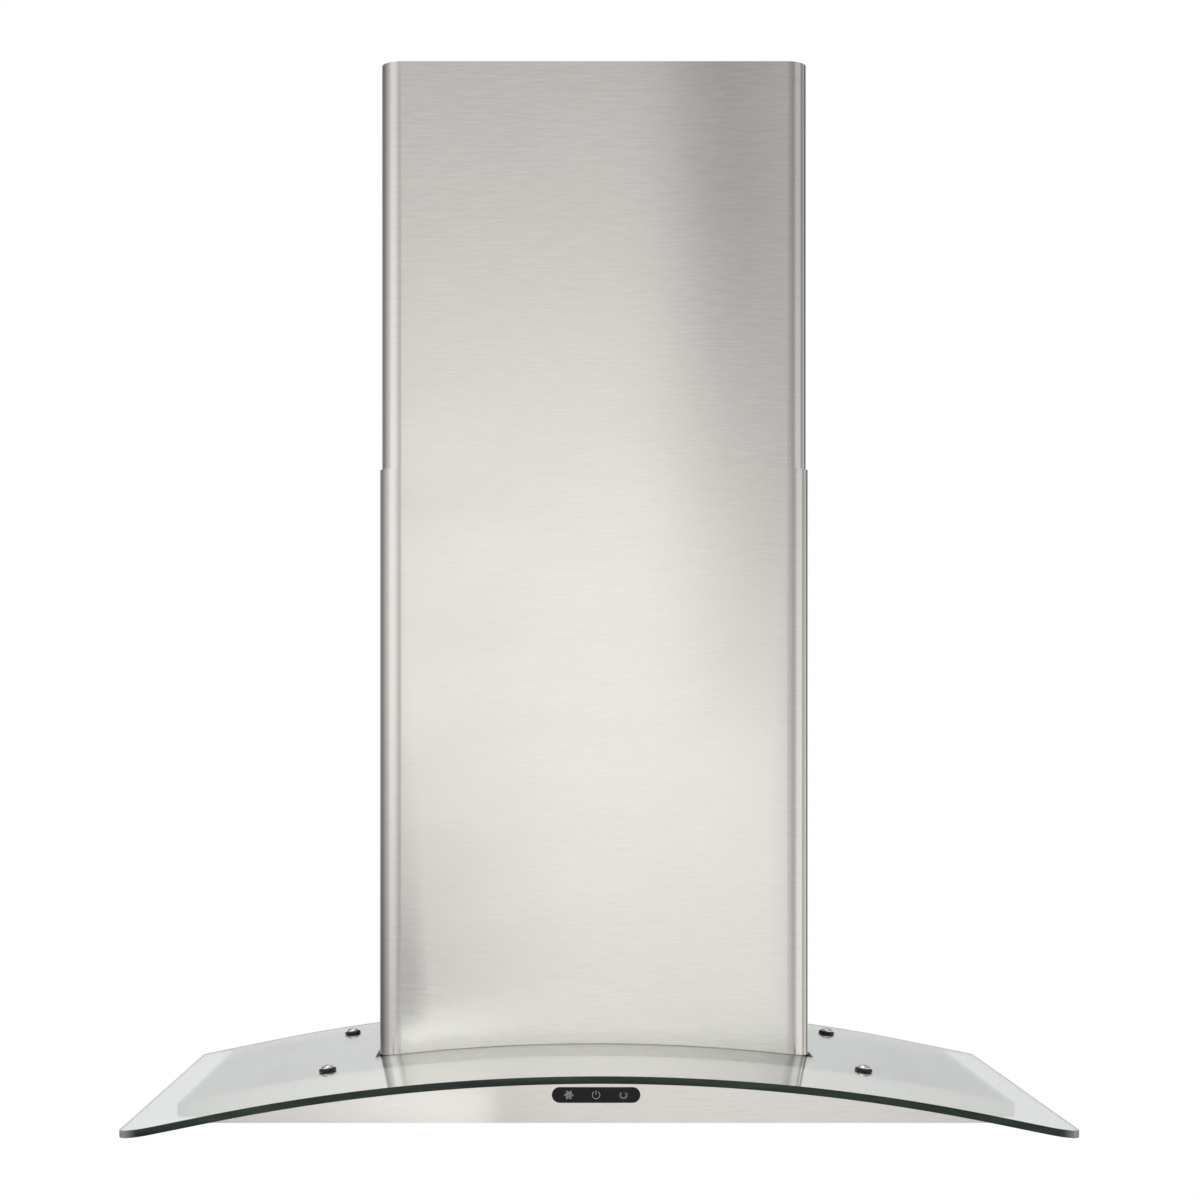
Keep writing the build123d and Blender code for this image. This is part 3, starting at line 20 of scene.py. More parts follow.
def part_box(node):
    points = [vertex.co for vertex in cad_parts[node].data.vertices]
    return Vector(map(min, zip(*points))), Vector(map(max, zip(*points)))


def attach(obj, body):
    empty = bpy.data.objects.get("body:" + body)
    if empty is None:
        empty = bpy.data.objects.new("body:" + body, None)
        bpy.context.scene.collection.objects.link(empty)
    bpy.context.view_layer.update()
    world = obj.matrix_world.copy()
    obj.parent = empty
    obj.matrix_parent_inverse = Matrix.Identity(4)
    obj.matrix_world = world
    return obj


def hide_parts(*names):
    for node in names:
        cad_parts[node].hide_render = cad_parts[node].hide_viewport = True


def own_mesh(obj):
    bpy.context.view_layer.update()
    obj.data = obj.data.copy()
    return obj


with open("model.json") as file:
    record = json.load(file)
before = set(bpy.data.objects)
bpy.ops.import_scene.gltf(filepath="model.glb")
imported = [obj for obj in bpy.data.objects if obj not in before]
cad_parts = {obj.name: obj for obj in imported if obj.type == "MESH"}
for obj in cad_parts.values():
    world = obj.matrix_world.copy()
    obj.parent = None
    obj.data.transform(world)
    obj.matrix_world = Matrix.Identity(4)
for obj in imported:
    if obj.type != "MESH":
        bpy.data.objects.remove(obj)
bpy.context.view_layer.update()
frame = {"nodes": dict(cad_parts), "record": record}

MM = 0.001
log = logging.getLogger("hood")

Tree, Node, Socket = bpy.types.NodeTree, bpy.types.Node, bpy.types.NodeSocket
Mesh = bpy.types.Mesh
Colour = tuple[float, float, float, float]
Point = tuple[float, float]
# A point on the outline of the glass in plan, and its outward direction there.
RimPoint = tuple[float, float, float, float]

BODY_OF_NODE = {
    node: body for body, nodes in frame["record"]["behaviour"]["bodies"].items() for node in nodes
}


# ------------------------------------------------------------------ node helpers


def linear(colour: str) -> Colour:
    """An sRGB hex colour such as "#C8C6C2" as linear RGBA."""
    channels = [int(colour[i : i + 2], 16) / 255 for i in (1, 3, 5)]
    return (*(c / 12.92 if c <= 0.04045 else ((c + 0.055) / 1.055) ** 2.4 for c in channels), 1.0)


def grey(level: float) -> Colour:
    """A linear grey of that brightness, which may pass 1 on a lit wall."""
    return (level, level, level, 1.0)


def feed(tree: Tree, node: Node, inputs: dict) -> None:
    """Sets and links a node's inputs.

    Args:
        tree: The node's tree.
        node: The node.
        inputs: Socket name or number to its value, a socket, or a node whose first output feeds it.
    """
    for key, source in inputs.items():
        if isinstance(source, Node):
            source = source.outputs[0]
        if isinstance(source, Socket):
            tree.links.new(source, node.inputs[key])
        else:
            node.inputs[key].default_value = source


def add_node(
    tree: Tree,
    kind: str,
    inputs: dict | None = None,
    stops: list[tuple[float, Colour]] | None = None,
    **settings,
) -> Node:
    """Adds one node with its settings and links.

    Args:
        tree: The tree that gets the node.
        kind: Blender's name of the node type.
        inputs: What its inputs hold or read, as feed takes it.
        stops: Position and colour of each stop of a colour ramp, in rising order.
        **settings: Properties of the node itself.

    Returns:
        The new node.
    """
    node = tree.nodes.new(kind)
    for key, value in settings.items():
        setattr(node, key, value)
    feed(tree, node, inputs or {})
    if stops:
        elements = node.color_ramp.elements
        while len(elements) < len(stops):
            elements.new(1.0)
        for element, (position, colour) in zip(elements, stops):
            element.position, element.color = position, colour
    return node


# ------------------------------------------------------------------ finishes


class Grain(Enum):
    """Which way a sheet was brushed."""

    AROUND = "level lines round an upright piece"
    ACROSS = "lines from the left of the hood to the right"


@dataclass(frozen=True)
class Finish:
    """A surface finish.

    Attributes:
        name: What the material is and how its surface was made.
        slot: The record's material slot; it is not used. The stage has none.
    """

    name: str
    slot: str = ""

    def shade(self, tree: Tree, shader: Node) -> None:
        """Sets the shader's values and adds the nodes that drive it.

        Args:
            tree: The material's node tree.
            shader: The material's shader.
        """
        raise NotImplementedError

    def material(self) -> bpy.types.Material:
        """Finds the finish's material, or makes it the first time it is asked for.

        Returns:
            The material.
        """
        made = bpy.data.materials.get(self.name)
        if made is None:
            made = bpy.data.materials.new(self.name)
            made.use_nodes = True
            self.shade(made.node_tree, made.node_tree.nodes["Principled BSDF"])
        return made

    def pattern_space(self, tree: Tree, size: tuple[float, float, float]) -> Node:
        """Places a pattern on the piece.

        Args:
            tree: The material's node tree.
            size: Length in metres along X, Y and Z that spans one unit of the pattern.

        Returns:
            The node with the piece's own coordinates at that scale.
        """
        place = add_node(tree, "ShaderNodeTexCoord").outputs["Object"]
        scale = tuple(1.0 / length for length in size)
        return add_node(tree, "ShaderNodeMapping", {"Vector": place, "Scale": scale})

    def cloudy(
        self,
        tree: Tree,
        size: tuple[float, float, float],
        detail: float = 3.0,
        roughness: float = 0.55,
    ) -> Node:
        """Adds a cloudy pattern.

        Args:
            tree: The material's node tree.
            size: About how large its features are, in metres along X, Y and Z.
            detail: How many finer layers it has.
            roughness: How strong these are.

        Returns:
            The noise node.
        """
        inputs = {"Vector": self.pattern_space(tree, size), "Scale": 1.0}
        return add_node(
            tree, "ShaderNodeTexNoise", {**inputs, "Detail": detail, "Roughness": roughness}
        )

    def drive(
        self,
        tree: Tree,
        shader: Node,
        pattern: Node | Socket,
        colours: tuple[str, ...] = (),
        roughness: Point | None = None,
        relief: Point | None = None,
        span: tuple[float, ...] = (0.3, 0.7),
    ) -> None:
        """Lets a pattern drive the shader's colour, roughness and height.

        Args:
            tree: The material's node tree.
            shader: The material's shader.
            pattern: The pattern.
            colours: One hex colour for each value in span.
            roughness: Roughness at the first and the last value in span.
            relief: Depth in metres of the height pattern, and its strength.
            span: Values of the pattern. Nearly all of a noise lies within the usual two.
        """
        if colours:
            stops = [(value, linear(colour)) for value, colour in zip(span, colours)]
            tone = add_node(tree, "ShaderNodeValToRGB", {"Fac": pattern}, stops=stops)
            feed(tree, shader, {"Base Color": tone})
        if roughness:
            limits = {"From Min": span[0], "From Max": span[-1]}
            limits |= {"To Min": roughness[0], "To Max": roughness[1]}
            rough = add_node(tree, "ShaderNodeMapRange", {"Value": pattern, **limits})
            feed(tree, shader, {"Roughness": rough})
        if relief:
            inputs = {"Height": pattern, "Distance": relief[0], "Strength": relief[1]}
            feed(tree, shader, {"Normal": add_node(tree, "ShaderNodeBump", inputs)})

    def see_through(
        self, tree: Tree, shader: Node, where: Node | Socket, tint: str = "#FFFFFF"
    ) -> None:
        """Lets light straight through the surface.

        Args:
            tree: The material's node tree.
            shader: The material's shader.
            where: 1 where light passes and 0 where it meets the surface.
            tint: What the light is tinted.
        """
        clear = add_node(tree, "ShaderNodeBsdfTransparent", {"Color": linear(tint)})
        mix = add_node(tree, "ShaderNodeMixShader", {0: where, 1: shader, 2: clear})
        feed(tree, tree.nodes["Material Output"], {"Surface": mix})


@dataclass(frozen=True)
class BrushedStainless(Finish):
    """Austenitic stainless sheet, belt-brushed: fine level lines that draw reflections upright."""

    grain: Grain = Grain.AROUND
    colours: tuple[str, str] = ("#D3D0CB", "#DBD8D3")
    streak_length: float = 15 * MM
    # Real brush lines are about 0.1 mm apart; drawn coarser so that they show in a render.
    streak_width: float = 0.8 * MM
    cloud: float = 140 * MM
    roughness: Point = (0.13, 0.17)
    anisotropy: float = 0.85
    relief: Point = (0.01 * MM, 0.045)

    def shade(self, tree: Tree, shader: Node) -> None:
        """Brush lines in colour, roughness and height, and the stretched highlight.

        Args:
            tree: The material's node tree.
            shader: The material's shader.
        """
        long, thin = self.streak_length, self.streak_width
        around = self.grain is Grain.AROUND
        lines = self.cloudy(tree, (long, long if around else thin, thin), 4.0, 0.6)
        clouds = self.cloudy(tree, (self.cloud, self.cloud, self.cloud / 2), 2.0)
        mixed = add_node(tree, "ShaderNodeMix", {0: 0.5, 2: lines, 3: clouds})
        self.drive(tree, shader, lines, self.colours, relief=self.relief)
        self.drive(tree, shader, mixed, roughness=self.roughness)
        axis = "Z" if around else "X"
        tangent = add_node(tree, "ShaderNodeTangent", direction_type="RADIAL", axis=axis)
        stretch = {"Anisotropic": self.anisotropy, "Anisotropic Rotation": 0.25 if around else 0.0}
        feed(tree, shader, {"Metallic": 1.0, "Tangent": tangent, **stretch})


@dataclass(frozen=True)
class Galvanised(Finish):
    """Hot-dip galvanised sheet: dull zinc whose crystals catch the light in patches."""

    colours: tuple[str, str] = ("#A3A9AC", "#BFC4C6")
    spangle: float = 7 * MM
    roughness: Point = (0.34, 0.52)
    relief: Point = (0.02 * MM, 0.2)

    def shade(self, tree: Tree, shader: Node) -> None:
        """Crystal patches in colour and roughness, with a faint height step between them.

        Args:
            tree: The material's node tree.
            shader: The material's shader.
        """
        space = self.pattern_space(tree, (self.spangle,) * 3)
        inputs = {"Vector": space, "Scale": 1.0, "Randomness": 1.0}
        cells = add_node(tree, "ShaderNodeTexVoronoi", inputs)
        patch = add_node(tree, "ShaderNodeSeparateColor", {"Color": cells.outputs["Color"]})
        span = (0.0, 1.0)
        self.drive(tree, shader, patch, self.colours, self.roughness, self.relief, span)
        feed(tree, shader, {"Metallic": 1.0})


@dataclass(frozen=True)
class PlainMetal(Finish):
    """A metal whose small marks are even in every direction: plated, ground, drawn or cast."""

    colours: tuple[str, str] = ("#B4B4B4", "#D0D0D0")
    mark: float = 1.5 * MM
    roughness: Point = (0.18, 0.3)
    relief: Point = (0.01 * MM, 0.2)

    def shade(self, tree: Tree, shader: Node) -> None:
        """Fine marks in colour, roughness and height.

        Args:
            tree: The material's node tree.
            shader: The material's shader.
        """
        marks = self.cloudy(tree, (self.mark,) * 3, 4.0)
        self.drive(tree, shader, marks, self.colours, self.roughness, self.relief)
        feed(tree, shader, {"Metallic": 1.0})


@dataclass(frozen=True)
class Moulded(Finish):
    """Plastic, rubber, enamel or glaze: an insulating surface with a fine moulded texture."""

    colours: tuple[str, str] = ("#202020", "#303030")
    texture: float = 0.8 * MM
    roughness: Point = (0.4, 0.55)
    relief: Point = (0.02 * MM, 0.3)
    coat: float = 0.0
    specular: float = 0.5
    coat_roughness: float = 0.03

    def shade(self, tree: Tree, shader: Node) -> None:
        """Texture in colour, roughness and height, under a clear coat where there is one.

        Args:
            tree: The material's node tree.
            shader: The material's shader.
        """
        texture = self.cloudy(tree, (self.texture,) * 3)
        self.drive(tree, shader, texture, self.colours, self.roughness, self.relief)
        inputs = {"Specular IOR Level": self.specular, "Coat Weight": self.coat}
        feed(tree, shader, {**inputs, "Coat Roughness": self.coat_roughness})


@dataclass(frozen=True)
class SolderMask(Finish):
    """Glass-fibre circuit board under green solder mask, its copper tracks just showing."""

    mask: str = "#1F5A34"
    track: str = "#2F7446"
    pitch: float = 2.5 * MM
    # How far from the middle of a cell a track begins, is clearest and ends.
    track_span: tuple[float, float, float] = (0.45, 0.55, 0.8)
    scatter: float = 0.7
    roughness: float = 0.28
    relief: Point = (0.03 * MM, 0.3)

    def shade(self, tree: Tree, shader: Node) -> None:
        """Square-cornered tracks that stand a little proud of the mask.

        Args:
            tree: The material's node tree.
            shader: The material's shader.
        """
        space = self.pattern_space(tree, (self.pitch,) * 3)
        inputs = {"Vector": space, "Scale": 1.0, "Randomness": self.scatter}
        kind = "ShaderNodeTexVoronoi"
        tracks = add_node(tree, kind, inputs, distance="MANHATTAN", feature="F2")
        colours = (self.mask, self.track, self.mask)
        self.drive(tree, shader, tracks, colours, relief=self.relief, span=self.track_span)
        feed(tree, shader, {"Roughness": self.roughness})


@dataclass(frozen=True)
class ClearGlass(Finish):
    """Clear toughened float glass: sharp reflections, a faint green tint and slight roller wave."""

    tint: str = "#F4FAF6"
    shadow_tint: str = "#EFF3F1"
    refraction: float = 1.52
    wave: float = 90 * MM
    roughness: Point = (0.0, 0.02)
    relief: Point = (0.02 * MM, 0.3)

    def shade(self, tree: Tree, shader: Node) -> None:
        """Clear glass that lets lamp light through to what lies under it.

        Args:
            tree: The material's node tree.
            shader: The material's shader.
        """
        waves = self.cloudy(tree, (self.wave,) * 3, 1.0)
        self.drive(tree, shader, waves, roughness=self.roughness, relief=self.relief)
        inputs = {"Base Color": linear(self.tint), "IOR": self.refraction}
        feed(tree, shader, {**inputs, "Transmission Weight": 1.0})
        shadow = add_node(tree, "ShaderNodeLightPath").outputs["Is Shadow Ray"]
        self.see_through(tree, shader, shadow, self.shadow_tint)


@dataclass(frozen=True)
class GroundGlassEdge(Finish):
    """The glass's ground and polished rim, which holds the green-black of the sheet's depth."""

    colours: tuple[str, str] = ("#1B241E", "#2E3B31")
    # Painted light: the edge's colour at the rounded front corners, where light comes through the
    # sheet.
    corner: str = "#98A29B"
    # Where the painted light spreads along the edge, from here to the tip of the sheet.
    painted_light_reach: Point = (361 * MM, 377 * MM)
    depth: tuple[float, float, float] = (60 * MM, 60 * MM, 9 * MM)
    grind: tuple[float, float, float] = (3 * MM, 3 * MM, 0.6 * MM)
    roughness: Point = (0.16, 0.3)
    specular: float = 0.25

    def shade(self, tree: Tree, shader: Node) -> None:
        """Deep green, with painted light at the rounded corners, and a fine grinding texture.

        Args:
            tree: The material's node tree.
            shader: The material's shader.
        """
        dark, light = (linear(colour) for colour in self.colours)
        depth = self.cloudy(tree, self.depth, 2.0)
        green = add_node(
            tree, "ShaderNodeValToRGB", {"Fac": depth}, stops=[(0.3, dark), (0.7, light)]
        )
        place = add_node(tree, "ShaderNodeTexCoord").outputs["Object"]
        across = add_node(tree, "ShaderNodeSeparateXYZ", {"Vector": place}).outputs["X"]
        reach = add_node(tree, "ShaderNodeMath", {0: across}, operation="ABSOLUTE")
        start, end = self.painted_light_reach
        tip = add_node(
            tree,
            "ShaderNodeMapRange",
            {"Value": reach, "From Min": start, "From Max": end},
            interpolation_type="SMOOTHSTEP",
        )
        # Painted light: towards the sheet's tip the edge turns to the pale corner colour.
        inputs = {0: tip, 6: green, 7: linear(self.corner)}
        blend = add_node(tree, "ShaderNodeMix", inputs, data_type="RGBA")
        inputs = {"Base Color": blend.outputs[2], "Specular IOR Level": self.specular}
        feed(tree, shader, inputs)
        self.drive(tree, shader, self.cloudy(tree, self.grind), roughness=self.roughness)


@dataclass(frozen=True)
class FrostedGlass(Finish):
    """Acid-etched lamp glass: white, softly lit through, with a fine matt face."""

    tint: str = "#F7F7F4"
    etch: float = 0.5 * MM
    transmission: float = 0.55
    roughness: Point = (0.45, 0.65)
    relief: Point = (0.02 * MM, 0.3)

    def shade(self, tree: Tree, shader: Node) -> None:
        """Blurred transmission with a fine etched texture.

        Args:
            tree: The material's node tree.
            shader: The material's shader.
        """
        etch = self.cloudy(tree, (self.etch,) * 3, 2.0)
        self.drive(tree, shader, etch, roughness=self.roughness, relief=self.relief)
        inputs = {"Base Color": linear(self.tint), "Transmission Weight": self.transmission}
        feed(tree, shader, inputs)


@dataclass(frozen=True)
class FloorPaint(Finish):
    """Pale painted floor that fades out at its rim, and isn't there from below."""

    radius: float = 2.4
    # Where it fades out, in radii.
    fade: Point = (0.45, 0.98)
    colours: tuple[str, str] = ("#E6E5E2", "#EBEAE8")
    speckle: float = 1 / 6
    roughness: float = 0.6

    def shade(self, tree: Tree, shader: Node) -> None:
        """A faint speckle, and the fade.

        Args:
            tree: The material's node tree.
            shader: The material's shader.
        """
        speckle = self.cloudy(tree, (self.speckle,) * 3, 2.0, 0.5)
        self.drive(tree, shader, speckle, self.colours)
        feed(tree, shader, {"Roughness": self.roughness})
        place = add_node(tree, "ShaderNodeTexCoord").outputs["Object"]
        distance = add_node(tree, "ShaderNodeVectorMath", {0: place}, operation="LENGTH")
        inputs = {"Value": distance.outputs["Value"]}
        start, end = (self.radius * share for share in self.fade)
        inputs |= {"From Min": start, "From Max": end}
        fade = add_node(tree, "ShaderNodeMapRange", inputs, interpolation_type="SMOOTHSTEP")
        below = add_node(tree, "ShaderNodeNewGeometry").outputs["Backfacing"]
        gone = add_node(tree, "ShaderNodeMath", {0: fade, 1: below}, operation="MAXIMUM")
        self.see_through(tree, shader, gone)


FLUE_STEEL = BrushedStainless("stainless_brushed_around", "brushed_stainless")
BODY_STEEL = BrushedStainless("stainless_brushed_across", "brushed_stainless", Grain.ACROSS)
CANOPY_GLASS = ClearGlass("float_glass_clear", "canopy_glass")
GLASS_EDGE = GroundGlassEdge("float_glass_ground_edge", "canopy_glass")
GALVANISED = Galvanised("steel_galvanised", "galvanised_steel")
ZINC = PlainMetal(
    "steel_zinc_plated", "zinc_fixings", ("#A9ADAB", "#C9CBC8"), 1.2 * MM, (0.28, 0.42)
)
SCREW_CHROME = PlainMetal(
    "steel_chrome_plated", "bright_screws", ("#D2D2D2", "#E4E4E4"), 2.0 * MM, (0.06, 0.14)
)
TRIM_CHROME = PlainMetal(
    "trim_satin_chrome", "bright_trim", ("#C4C4C3", "#D6D6D5"), 0.6 * MM, (0.22, 0.32)
)
GROUND_STEEL = PlainMetal(
    "steel_ground", "ground_steel", ("#A3A29F", "#C4C3C0"), 0.5 * MM, (0.22, 0.36)
)
ALUMINIUM_SHEET = PlainMetal(
    "aluminium_rolled", "aluminium_sheet", ("#BFC1C3", "#D3D4D5"), 2.5 * MM, (0.3, 0.42)
)
ALUMINIUM_MESH = PlainMetal(
    "aluminium_expanded", "aluminium_mesh", ("#B2B4B6", "#CFD0D1"), 1.0 * MM, (0.26, 0.42)
)
RUBBER = Moulded(
    "rubber_moulded_black", "black_rubber", ("#101010", "#1C1C1C"), 0.6 * MM, (0.5, 0.7)
)
TOUCH_PLATE = Moulded(
    "acrylic_gloss_black",
    "black_touch_plate",
    ("#0A0A0C", "#0E0E10"),
    6.0 * MM,
    (0.1, 0.2),
    (0.002 * MM, 0.3),
    specular=0.22,
)
SYMBOL_PRINT = Moulded(
    "screen_print_light_grey", "black_touch_plate", ("#8F9194", "#A9ABAE"), 0.4 * MM, (0.5, 0.6)
)
BOARD = SolderMask("circuit_board_green", "circuit_board")
GREY_MOULDING = Moulded(
    "abs_moulded_grey", "grey_moulding", ("#8A8C8C", "#9A9C9C"), 0.5 * MM, (0.45, 0.6)
)
SHEATH = Moulded(
    "pvc_cable_sheath", "cable_sheath", ("#232325", "#2E2E30"), 1.2 * MM, (0.38, 0.5)
)
LAMP_GLASS = FrostedGlass("lamp_glass_etched", "frosted_glass")
CERAMIC = Moulded(
    "ceramic_glazed", "lamp_ceramic", ("#DEDBD1", "#E9E7DF"), 2.0 * MM, (0.12, 0.22), coat=0.3
)
ENAMEL = Moulded(
    "enamel_baked_dark_grey",
    "motor_enamel",
    ("#2A2C2F", "#35373A"),
    1.0 * MM,
    (0.3, 0.42),
    coat=0.1,
)


# ------------------------------------------------------------------ mesh helpers


def mesh_of(shape: bmesh.types.BMesh, *finishes: Finish) -> Mesh:
    """Turns a bmesh into a mesh, and frees it.

    Args:
        shape: The bmesh.
        *finishes: What its faces are made of, by material index.

    Returns:
        The mesh.
    """
    mesh = bpy.data.meshes.new("piece")
    shape.to_mesh(mesh)
    shape.free()
    for finish in finishes:
        mesh.materials.append(finish.material())
    return mesh


def smoothed(mesh: Mesh, sharp_degrees: float) -> Mesh:
    """Shades a mesh smooth, but keeps its sharp edges.

    Args:
        mesh: The mesh, which is changed.
        sharp_degrees: Edges that turn more than this stay sharp.

    Returns:
        The same mesh.
    """
    shape = bmesh.new()
    shape.from_mesh(mesh)
    limit = math.radians(sharp_degrees)
    for face in shape.faces:
        face.smooth = True
    for edge in shape.edges:
        edge.smooth = len(edge.link_faces) == 2 and edge.calc_face_angle(0.0) < limit
    shape.to_mesh(mesh)
    shape.free()
    return mesh


def place_piece(
    name: str, mesh: Mesh, body: str, replaced: tuple[str, ...] = ()
) -> bpy.types.Object:
    """Puts a finished mesh on its body and reports it.

    Args:
        name: The piece's name.
        mesh: Its mesh, already in place, with its materials.
        body: The body that it rides on.
        replaced: The model's nodes that it stands for.

    Returns:
        The object that shows the mesh.
    """
    mesh.name = name
    piece = bpy.data.objects.new(name, mesh)
    bpy.context.scene.collection.objects.link(piece)
    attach(piece, body)
    if replaced:
        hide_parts(*replaced)
    log.info("%s: %d faces on %s", name, len(mesh.polygons), body)
    return piece


@dataclass(frozen=True)
class Bend:
    """The bend that the glass and the body's top share: an arc between two flat wings.

    Attributes:
        radius: Of the glass's underside.
        half_width: Half the width of the arc; beyond it the sheet is flat.
        crown: Height of the underside at the centre.
        along_limit: Faces that turn from the bend by more degrees than this don't lie along it.
    """

    radius: float = 1540 * MM
    half_width: float = 305 * MM
    crown: float = 52 * MM
    along_limit: float = 3.0

    def slope(self, x: float, offset: float = 0.0) -> float:
        """Angle in radians at x of the surface that lies offset above the underside."""
        limit = self.half_width / self.radius
        return math.asin(max(-limit, min(limit, x / (self.radius + offset))))

    def up(self, x: float) -> Vector:
        """Direction square to the underside at x."""
        return Vector((math.sin(self.slope(x)), 0.0, math.cos(self.slope(x))))

    def height(self, x: float, offset: float = 0.0) -> float:
        """Finds the height of a surface that runs along the bend.

        Args:
            x: Where.
            offset: How far the surface lies above the underside.

        Returns:
            Its height there.
        """
        radius = self.radius + offset
        wing = math.asin(self.half_width / self.radius)
        run_out = radius * math.sin(wing)
        centre = self.crown - self.radius
        if abs(x) <= run_out:
            return centre + math.sqrt(radius**2 - x**2)
        return centre + radius * math.cos(wing) - (abs(x) - run_out) * math.tan(wing)

    def true_normals(self, mesh: Mesh) -> None:
        """Gives faces that lie along the bend its exact normals, so that they mirror evenly.

        Args:
            mesh: The mesh, which is changed.
        """
        along = math.cos(math.radians(self.along_limit))
        normals = [Vector()] * len(mesh.loops)
        for face in mesh.polygons:
            if abs(face.normal.dot(self.up(face.center.x))) < along:
                continue
            side = math.copysign(1.0, face.normal.z)
            for index in face.loop_indices:
                x = mesh.vertices[mesh.loops[index].vertex_index].co.x
                normals[index] = side * self.up(x)
        mesh.normals_split_custom_set(normals)


BEND = Bend()


class Hand(Enum):
    """Which one of a pair, as seen from the front."""

    LEFT = "left"
    RIGHT = "right"


@dataclass
class SubAssembly:
    """A group of pieces that are made and dressed together.

    Attributes:
        sharp_degrees: Edges that turn more than this stay crisp.
        weld: Points of a node that are closer than this are one.
    """

    sharp_degrees: float = 28.0
    weld: float = 0.002 * MM

    def dress(self, finish: Finish, *nodes: str) -> None:
        """Gives nodes of the model their finish as they are.

        Args:
            finish: What they are made of.
            *nodes: The nodes.
        """
        for node in nodes:
            for slot in frame["nodes"][node].material_slots:
                slot.material = finish.material()
            log.info("%s: dressed in %s", node, finish.name)

    def polish(self, finish: Finish, *nodes: str, bend: Bend | None = None) -> None:
        """Replaces nodes by copies whose curved faces are shaded smooth.

        Args:
            finish: What the copies are made of.
            *nodes: The nodes.
            bend: The bend that some of their faces lie along, if any do.
        """
        for node in nodes:
            shape = bmesh.new()
            shape.from_mesh(frame["nodes"][node].data)
            bmesh.ops.remove_doubles(shape, verts=shape.verts, dist=self.weld)
            mesh = smoothed(mesh_of(shape, finish), self.sharp_degrees)
            if bend:
                bend.true_normals(mesh)
            place_piece(f"{node}_finished", mesh, BODY_OF_NODE[node], (node,))


# ------------------------------------------------------------------ geometry nodes


